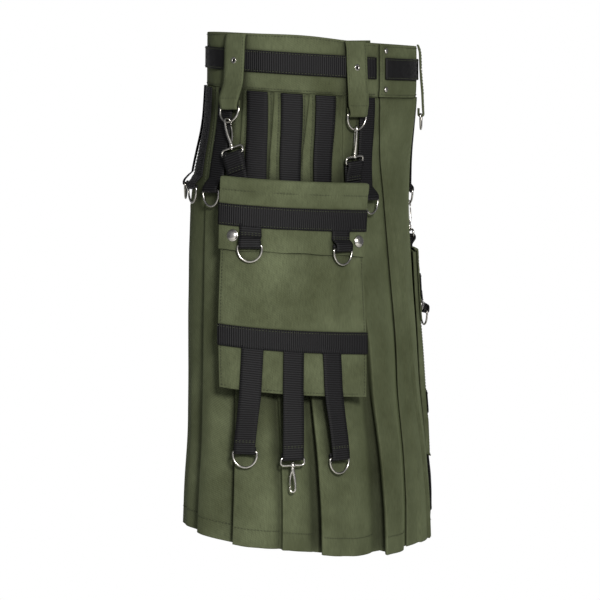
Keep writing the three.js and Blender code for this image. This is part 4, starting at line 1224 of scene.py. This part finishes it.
def strap_down(pocket, name, tail, start, lie_to, extra, replaced):
    """A strap down a pocket: it lies on the panel, hangs free and folds round its bar."""
    top, end, bar_z, out = tail
    angle = pocket["side"] * (pocket["middle"] + end)
    place = profile_place(angle, bar_z + pocket["drop"])
    inverse = place.inverted()
    upper = []
    for z in spread(start, lie_to, 24):
        leave = smoothstep(-z, -lie_to - 22, -lie_to) * 0.9
        at = lerp(top, end, 0.55 * (start - z) / (start - lie_to))
        half = WEBBING_WIDTH / 2 / ANGLE_MM
        low = front_spot(pocket, at - half, z, extra + WEBBING / 2 + leave)
        high = front_spot(pocket, at + half, z, extra + WEBBING / 2 + leave)
        middle = front_spot(pocket, at, z, extra + WEBBING / 2 + leave)
        upper.append((middle, (high - low).normalized(), middle - (low + high) / 2))
    fold = fold_round(out, KNUCKLE_IN, WEBBING, 5)
    last = inverse @ upper[-1][0]
    first_y = min(6, last.y - 5)
    points = [(fold[0][0] - 0.3, first_y), *fold]
    if last.y - first_y > 30:
        for part in (0.35, 0.7):
            points.insert(-len(fold) - 1, (lerp(last.x, fold[0][0], part) + 0.4, lerp(last.y, first_y, part)))
    drift = [last.z * (1 - min(1, (last.y - y) / (last.y - first_y))) for x, y in points]
    hanging = [place @ Vector((x, y, z)) for (x, y), z in zip(points, drift)]
    rest = through([upper[-1][0], *hanging], 46)[1:]
    centre, sideways = run_on(name, upper, rest, place, 12, [replaced])
    near = [k for k, p in enumerate(centre) if (inverse @ p).x > out - 0.5 and (inverse @ p).y > 10]
    return centre, sideways, near[-1] if near else len(upper)


def smooth_line(stations, count):
    """Points with a radius, run through smoothly: gives a path and its radii."""
    path = through([Vector(p[:3]) for p in stations], count)
    lengths = [0]
    for a, b in zip(stations, stations[1:]):
        lengths.append(lengths[-1] + (Vector(b[:3]) - Vector(a[:3])).length)
    radii = []
    for part in spread(0, lengths[-1], count):
        k = max(i for i in range(len(lengths) - 1) if lengths[i] <= part + 1e-6)
        share = (part - lengths[k]) / (lengths[k + 1] - lengths[k])
        radii.append(lerp(stations[k][3], stations[k + 1][3], min(1, share)))
    return path, radii


# Runs of a snap hook: across, up and radius at each station, then how many points
HOOK_PARTS = [
    ("stem", [(0, -27, 2.1), (0.6, -23.5, 1.95), (2.1, -18, 1.6), (3.3, -10, 1.3), (3.7, -1, 1.15),
              (2.7, 2.8, 1.1), (0, 4.3, 1.1), (-2.6, 2.9, 1.05), (-3.6, -0.5, 1.0), (-3.4, -3.4, 0.85)], 60),
    ("gate", [(-0.7, -24.5, 1.2), (-2.2, -20, 1.05), (-3.3, -13, 0.85), (-3.5, -8, 0.75),
              (-3.3, -4.6, 0.8)], 26),
    ("thumb", [(-2.6, -16.4, 0.7), (-3.7, -16.9, 0.85), (-4.3, -17.3, 0.55)], 9),
]


def hook_loop(name, place, body=KILT, replaced=()):
    """A snap hook's slim body, gate and thumb piece, in a frame whose y runs up."""
    for part, stations, count in HOOK_PARTS:
        path, radii = smooth_line([(x, y, 0, radius) for x, y, radius in stations], count)
        wire(f"{name}_{part}", [tuple(p) for p in path], 1, place, closed=False, body=body,
             replaced=replaced if part == "stem" else (), thick=radii)


def rounded_frame(half, top, bottom, corner, count=7):
    outline = []
    for x, y, start in ((half, top, 0), (-half, top, 90), (-half, bottom, 180), (half, bottom, 270)):
        cx, cy = x - math.copysign(corner, x), y + (corner if y == bottom else -corner)
        outline += [(cx + corner * math.cos(math.radians(a)), cy + corner * math.sin(math.radians(a)))
                    for a in spread(start, start + 90, count)]
    return outline


# The swivel's barrel: radius and height
BARREL = [(0, -25.2), (1.9, -25.4), (2.4, -26.2), (2.4, -27.6), (1.7, -28.2), (1.3, -28.5), (1.3, -28.8),
          (2.5, -29.0), (2.7, -29.5), (2.7, -31.3), (2.4, -31.8), (1.6, -32.0), (1.6, -32.9), (0, -33.0)]


def pocket_hook(pocket, i, end):
    name = f"pocket_hook_{pocket['name']}_{end}"
    place = hook_place(pocket, i)
    twist = place @ Matrix.Rotation(math.radians(60) * pocket["side"], 4, "Y")
    hook_loop(name, twist, replaced=[name])
    finished(f"{name}_swivel", turned(BARREL, place, 20), NICKEL)
    outline = rounded_frame((29.4 - WIRE) / 2, -30.6, -39, 3.4)
    wire(f"{name}_frame", outline, 1.25, place)
    # The webbing over the rail, its stitched end in front
    basis = Matrix(((0, 0, 1, 0), (0, 1, 0, -WIRE_TO_RAIL), (-1, 0, 0, 0), (0, 0, 0, 1)))
    hang = place @ basis
    inverse = hang.inverted()
    offset = pocket["bars"][i] - pocket["middle"]
    radius = KNUCKLE_IN + WEBBING / 2

    def reach(down):
        z = POCKET_TOP - down
        out = back_out(pocket, offset, min(z, POCKET_TOP)) - 0.2
        point = inverse @ pocket_spot(pocket, offset, z, out, straight_section)
        return point.x, point.y

    over = [(radius * math.cos(a), radius * math.sin(a)) for a in spread(0, math.pi, 9)]
    top, low = (-radius, -2), reach(-1)
    down = [top, low, reach(9)]
    front = [(lerp(top[0], low[0], f) + 1.7, lerp(top[1], low[1], f)) for f in (0.85, 0.55)]
    path = [*front, (radius * 0.9, -3), *over, *down]
    centre = through([hang @ Vector((x, y, 0)) for x, y in path], 60)
    level = hang.to_3x3() @ Vector((0, 0, 1))
    tape(f"hanger_{pocket['name']}_{end}", centre, [level] * len(centre), WEBBING_WIDTH, WEBBING, TAPE)
    ends = through([hang @ Vector((x + 0.8, y, 0)) for x, y in front], 12)
    runs = [[p + level * x for x in spread(-10, 10, 6)] for p in (ends[3], ends[9])]
    sewn(f"hanger_stitching_{pocket['name']}_{end}", runs)


def tail_hook(pocket):
    name = pocket["name"]
    middle = (*TAILS[1], pocket["tail_out"])
    place = tail_place(pocket, middle)
    bar, hook = f"tail_bar_{name}", f"tail_hook_{name}"
    wire(f"{bar}_wire", rounded_frame((29.4 - WIRE) / 2, 0, -8.4, 3.2), 1.2, place, body=bar, replaced=[bar])
    boss = [(1.3, -6.6), (2.7, -6.5), (3.1, -6.9), (3.1, -9.7), (2.7, -10.1), (1.3, -10.1), (1.3, -6.6)]
    finished(f"{bar}_boss", turned(boss, place, 22), NICKEL, bar)
    pin = [(0, -4.9), (1.7, -4.95), (2.2, -5.4), (2.1, -6.1), (0.95, -6.1), (0.95, -10.4), (1.8, -10.6),
           (2.1, -11.2), (2.1, -12.6), (1.6, -13.4), (0, -13.6)]
    finished(f"{hook}_pin", turned(pin, place, 20), NICKEL, hook, [hook])
    # The loop hangs upside down below the swivel, a little smaller than the pockets' own
    turn = Matrix.Rotation(math.radians(-25) * pocket["side"], 4, "Y")
    hang = Matrix.Translation((0, -34.4, 0)) @ Matrix.Rotation(math.pi, 4, "Z") @ Matrix.Scale(0.83, 4)
    hook_loop(hook, place @ turn @ hang, hook)


def stud(pocket, offset, end):
    """A domed snap cap on the flap's facet."""
    name = f"flap_stud_{pocket['name']}_{end}"
    out = FLAP_OUT + 0.1

    def point(turn, rise):
        return facet_point(pocket, offset + turn, STUD_Z + rise, out)

    along = ((point(1, 0) - point(-1, 0)) * pocket["side"]).normalized()
    inward = along.cross((point(0, 1) - point(0, -1)).normalized()).normalized()
    place = Matrix((along, inward.cross(along), inward)).transposed().to_4x4()
    place.translation = point(0, 0)
    cap = [(0, 3.2), (1.6, 3.1), (3.1, 2.75), (4.4, 2.15), (5.3, 1.5), (5.8, 1.0), (6.1, 0.75), (6.5, 0.7),
           (6.6, 0.35), (6.4, 0), (0, 0)]
    facing = place @ Matrix.Rotation(math.radians(-90), 4, "X")
    finished(name, turned(cap, facing, 36), NICKEL, replaced=[name])


def strap_stitches(name, centre, sideways, place_at, out):
    """Two rows across a strap above its ring."""
    gap, above = 3.2, WEBBING / 2 + 0.15
    rows = []
    for k in (place_at, place_at - max(1, round(gap / (centre[1] - centre[0]).length))):
        face = sideways[k].cross((centre[k + 1] - centre[k]).normalized()).normalized()
        if face.dot(out) < 0:
            face.negate()
        rows.append([centre[k] + sideways[k] * x + face * above for x in spread(-10.5, 10.5, 8)])
    sewn(name, rows)


def pocket_webbing(pocket):
    name = pocket["name"]
    flap_node, lower_node = f"flap_webbing_{name}", f"lower_webbing_{name}"
    flap_half = POCKET_HALF + FLAP_OVERHANG
    band_across(pocket, f"flap_band_{name}", FLAP_BAND_TOP, flap_half, FLAP_OUT, FLAP_STRAPS, flap_node)
    starts = [row[0] for row in TAILS]
    band_across(pocket, f"lower_band_{name}", LOWER_BAND_TOP, POCKET_HALF, LOWER_OUT, starts, lower_node)

    def strap_and_ring(kind, end, tail, band_top, lie_to, out, band_node, facing, ring=True):
        start = band_top - STRAP_TUCK
        made = strap_down(pocket, f"{kind}_strap_{name}_{end}", tail, start, lie_to, out, band_node)
        if ring:
            held = f"{kind}_ring_{name}_{end}"
            d_ring(f"{held}_wire", tail_place(pocket, tail), held, [held])
        at = pocket["side"] * (pocket["middle"] + facing[0])
        strap_stitches(f"{kind}_strap_stitching_{name}_{end}", *made, outward(at, facing[1]))

    for end, offset in zip(("front", "rear"), FLAP_STRAPS):
        strap_and_ring("flap", end, flap_tail(pocket, offset), FLAP_BAND_TOP, FLAP_STRAP_END + 12, FLAP_OUT,
                       flap_node, (offset, -200))
    for end, row in zip(("front", "middle", "rear"), TAILS):
        strap_and_ring("tail", end, (*row, pocket["tail_out"]), LOWER_BAND_TOP, POCKET_BOTTOM - 8, LOWER_OUT,
                       lower_node, (row[1], -430), end != "middle")


# Stitching on the cloth
def along_body(angles, z, out):
    return [spot(a, z, out(a) if callable(out) else out) for a in angles]


def waist_stitching():
    ring = [a for a in BAND_ANGLES if a <= 360 + APRON_EDGE - 1]
    outside = [a for a in ring if a >= APRON_EDGE + 1]

    def face(a):
        return band_out(a) + 1.25 + band_ripple(a, 0) * 0.6

    def tape_face(a):
        return band_out(a) + 3.25

    top = [spot(a, band_top(a) - 2.6, face(a)) for a in outside]
    low = along_body(outside, BAND_BOTTOM + 2.6, face)
    heights = spread(BAND_TOP - 3, BAND_BOTTOM + 3, 12)
    edge = [spot(360 + APRON_EDGE - 1, z, face(360 + APRON_EDGE)) for z in heights]
    sewn("waistband_stitching", [top, low, edge])
    sewn("waist_webbing_stitching", [along_body(outside[1:-1], z, tape_face) for z in (13.2, -7.2)])


def bar_stitching():
    """Rows down each side of the olive bars between the webbing strips."""
    for side, word in ((1, "right"), (-1, "left")):
        runs = []
        for strip in [row for row in STRIPS if row[0] == side]:
            for beside in (-1, 1):
                run = []
                for z in spread(BAND_BOTTOM - 2, -139, 40):
                    middle = strip_angle(strip, z)
                    at = middle + beside * (WEBBING_WIDTH / 2 + 2.6) * turn_per_mm(middle, z)
                    run.append(spot(at, z, panel_rise(side, at, z) + 0.25))
                runs.append(run)
        sewn(f"fell_stitching_{word}", runs)


def panel_rise(side, angle, z):
    """How far the pleated cloth stands out at an angle."""
    folds = RIGHT_FOLDS if side > 0 else LEFT_FOLDS
    a = abs(angle)
    for fold, following in zip(folds, folds[1:]):
        start, end = fold_angle(fold, z), fold_angle(following, z)
        if start <= a <= end:
            part = (a - start) / (end - start)
            raised = creased(side, a, z, PULLS) * min(1, 3.2 * part) * min(1, (1 - part) * 4 + 0.25)
            return fold_lift(following, z) * (1 - (1 - part) ** 2) + raised
    return 0.3


def hem_stitching():
    """The faint row of the hem, two fingers up."""
    for side, word, folds in ((1, "right", RIGHT_FOLDS), (-1, "left", LEFT_FOLDS)):
        z = HEM + 20
        runs = []
        for number, (fold, following) in enumerate(zip(folds, folds[1:])):
            stations = panel(side, number, fold, following, z)[1:-4]
            runs.append([spot(side * a, z, out + 0.1) - UP * hem_dip(a, z) for a, out in stations])
        sewn(f"hem_stitching_{word}", runs)
    z = HEM + 20
    stations = apron_stations(z)
    runs = [[spot(a, z, out + 0.1) - UP * hem_dip(a, z) for a, out in stations[3:19]]]
    sewn("hem_stitching_apron", runs)


def pocket_stitching(pocket):
    name = pocket["name"]
    inset = 3 / ANGLE_MM
    runs = []
    for beside in (1, -1):
        at = beside * (POCKET_HALF - inset)
        runs.append([front_spot(pocket, at, z, 0.15) for z in spread(FLAP_BOTTOM - 2, POCKET_BOTTOM + 3, 50)])
    bottom = spread(-POCKET_HALF + 1, POCKET_HALF - 1, 30)
    runs.append([front_spot(pocket, o, POCKET_BOTTOM + 3, 0.15) for o in bottom])
    sewn(f"pocket_stitching_{name}", runs)
    across = spread(-POCKET_HALF, POCKET_HALF, 40)
    rows = [[front_spot(pocket, o, POCKET_TOP - 11.5, 1.65) for o in across]]
    for z in (FLAP_BAND_TOP - 2.2, FLAP_BAND_TOP - WEBBING_WIDTH + 2.2):
        clear = [o for o in across if not near_strap(o, z)]
        rows.append([front_spot(pocket, o, z, FLAP_OUT + WEBBING + 0.1) for o in clear])
    sewn(f"flap_stitching_{name}", rows)
    row = [front_spot(pocket, o, LOWER_BAND_TOP - 2.2, LOWER_OUT + WEBBING + 0.1) for o in across]
    sewn(f"lower_band_stitching_{name}", [row])


def near_strap(offset, z):
    beside = min(abs(offset - at) for at in FLAP_STRAPS) * ANGLE_MM
    return z < FLAP_BAND_TOP - 12 and beside < WEBBING_WIDTH / 2 + 2


def pockets():
    for pocket in POCKETS:
        pouch(pocket)
        flap(pocket)
        pocket_webbing(pocket)
        for i, end in enumerate(("front", "rear")):
            pocket_hook(pocket, i, end)
            stud(pocket, STUD_OFFSETS[i], end)
        tail_hook(pocket)
        pocket_stitching(pocket)


pleated_half("pleats_right_cloth", RIGHT_FOLDS, 1)
pleated_half("pleats_left_cloth", LEFT_FOLDS, -1)
apron()
under_apron()
waistband()
apron_snaps()
fell_strips()
belt_loops()
pockets()
waist_stitching()
bar_stitching()
hem_stitching()


# Floor and light
LIGHT_AIM = -250


def light(name, azimuth, height, distance, size, power, tone):
    a = math.radians(azimuth)
    lamp = bpy.data.lights.new(name, "AREA")
    lamp.shape = "DISK"
    lamp.size = size
    lamp.energy = power
    lamp.color = colour(tone)[:3]
    holder = bpy.data.objects.new(name, lamp)
    at = Vector((math.sin(a) * distance, -math.cos(a) * distance, height))
    holder.matrix_world = (at - UP * LIGHT_AIM * MM).to_track_quat("Z", "Y").to_matrix().to_4x4()
    holder.location = at
    bpy.context.scene.collection.objects.link(holder)


FLOOR_RADIUS = 2
FLOOR_Z = -1.02


def surroundings():
    bm = bmesh.new()
    bmesh.ops.create_circle(bm, cap_ends=True, radius=FLOOR_RADIUS, segments=96)
    bmesh.ops.translate(bm, verts=bm.verts, vec=(0, 0, FLOOR_Z))
    mesh = bpy.data.meshes.new("floor")
    bm.to_mesh(mesh)
    bm.free()
    floor = bpy.data.objects.new("floor", mesh)
    material, tree, shader = surface("painted_floor")
    place = node(tree, "ShaderNodeTexCoord").outputs["Object"]
    mottle = node(tree, "ShaderNodeTexNoise", {"Scale": 3.0, "Detail": 3.0}, {"Vector": place})
    tone = ramp(tree, mottle.outputs[0], [(0.3, "#f3f3f1"), (0.7, "#f6f6f4")])
    tree.links.new(tone, shader.inputs["Base Color"])
    shader.inputs["Roughness"].default_value = 0.9
    mesh.materials.append(material)
    bpy.context.scene.collection.objects.link(floor)
    # A white backdrop behind the kilt, dim walls at the sides, a pale one behind the camera
    world = bpy.data.worlds.new("studio")
    world.use_nodes = True
    tree = world.node_tree
    a, down = math.radians(VIEW_AZIMUTH), math.radians(VIEW_DOWN)
    ahead = (-math.sin(a) * math.cos(down), math.cos(a) * math.cos(down), -math.sin(down))
    looking = node(tree, "ShaderNodeTexCoord").outputs["Generated"]
    along = node(tree, "ShaderNodeVectorMath", {"operation": "DOT_PRODUCT", 1: ahead}, {0: looking})
    share = node(tree, "ShaderNodeMapRange", {"From Min": -1, "From Max": 1},
                 {"Value": along.outputs["Value"]})
    stops = [(0.0, "#b0b0b2"), (0.3, "#68686a"), (0.9, "#5c5c5e"), (0.965, "#ffffff")]
    tone = ramp(tree, share.outputs[0], stops)
    tree.links.new(tone, tree.nodes["Background"].inputs["Color"])
    tree.nodes["Background"].inputs["Strength"].default_value = 1
    bpy.context.scene.world = world


# One soft light, a little in front of the camera's place
light("key", azimuth=309, height=0.6, distance=2.6, size=0.5, power=74, tone="#fffcf6")
surroundings()
bpy.context.scene.view_settings.view_transform = "Standard"
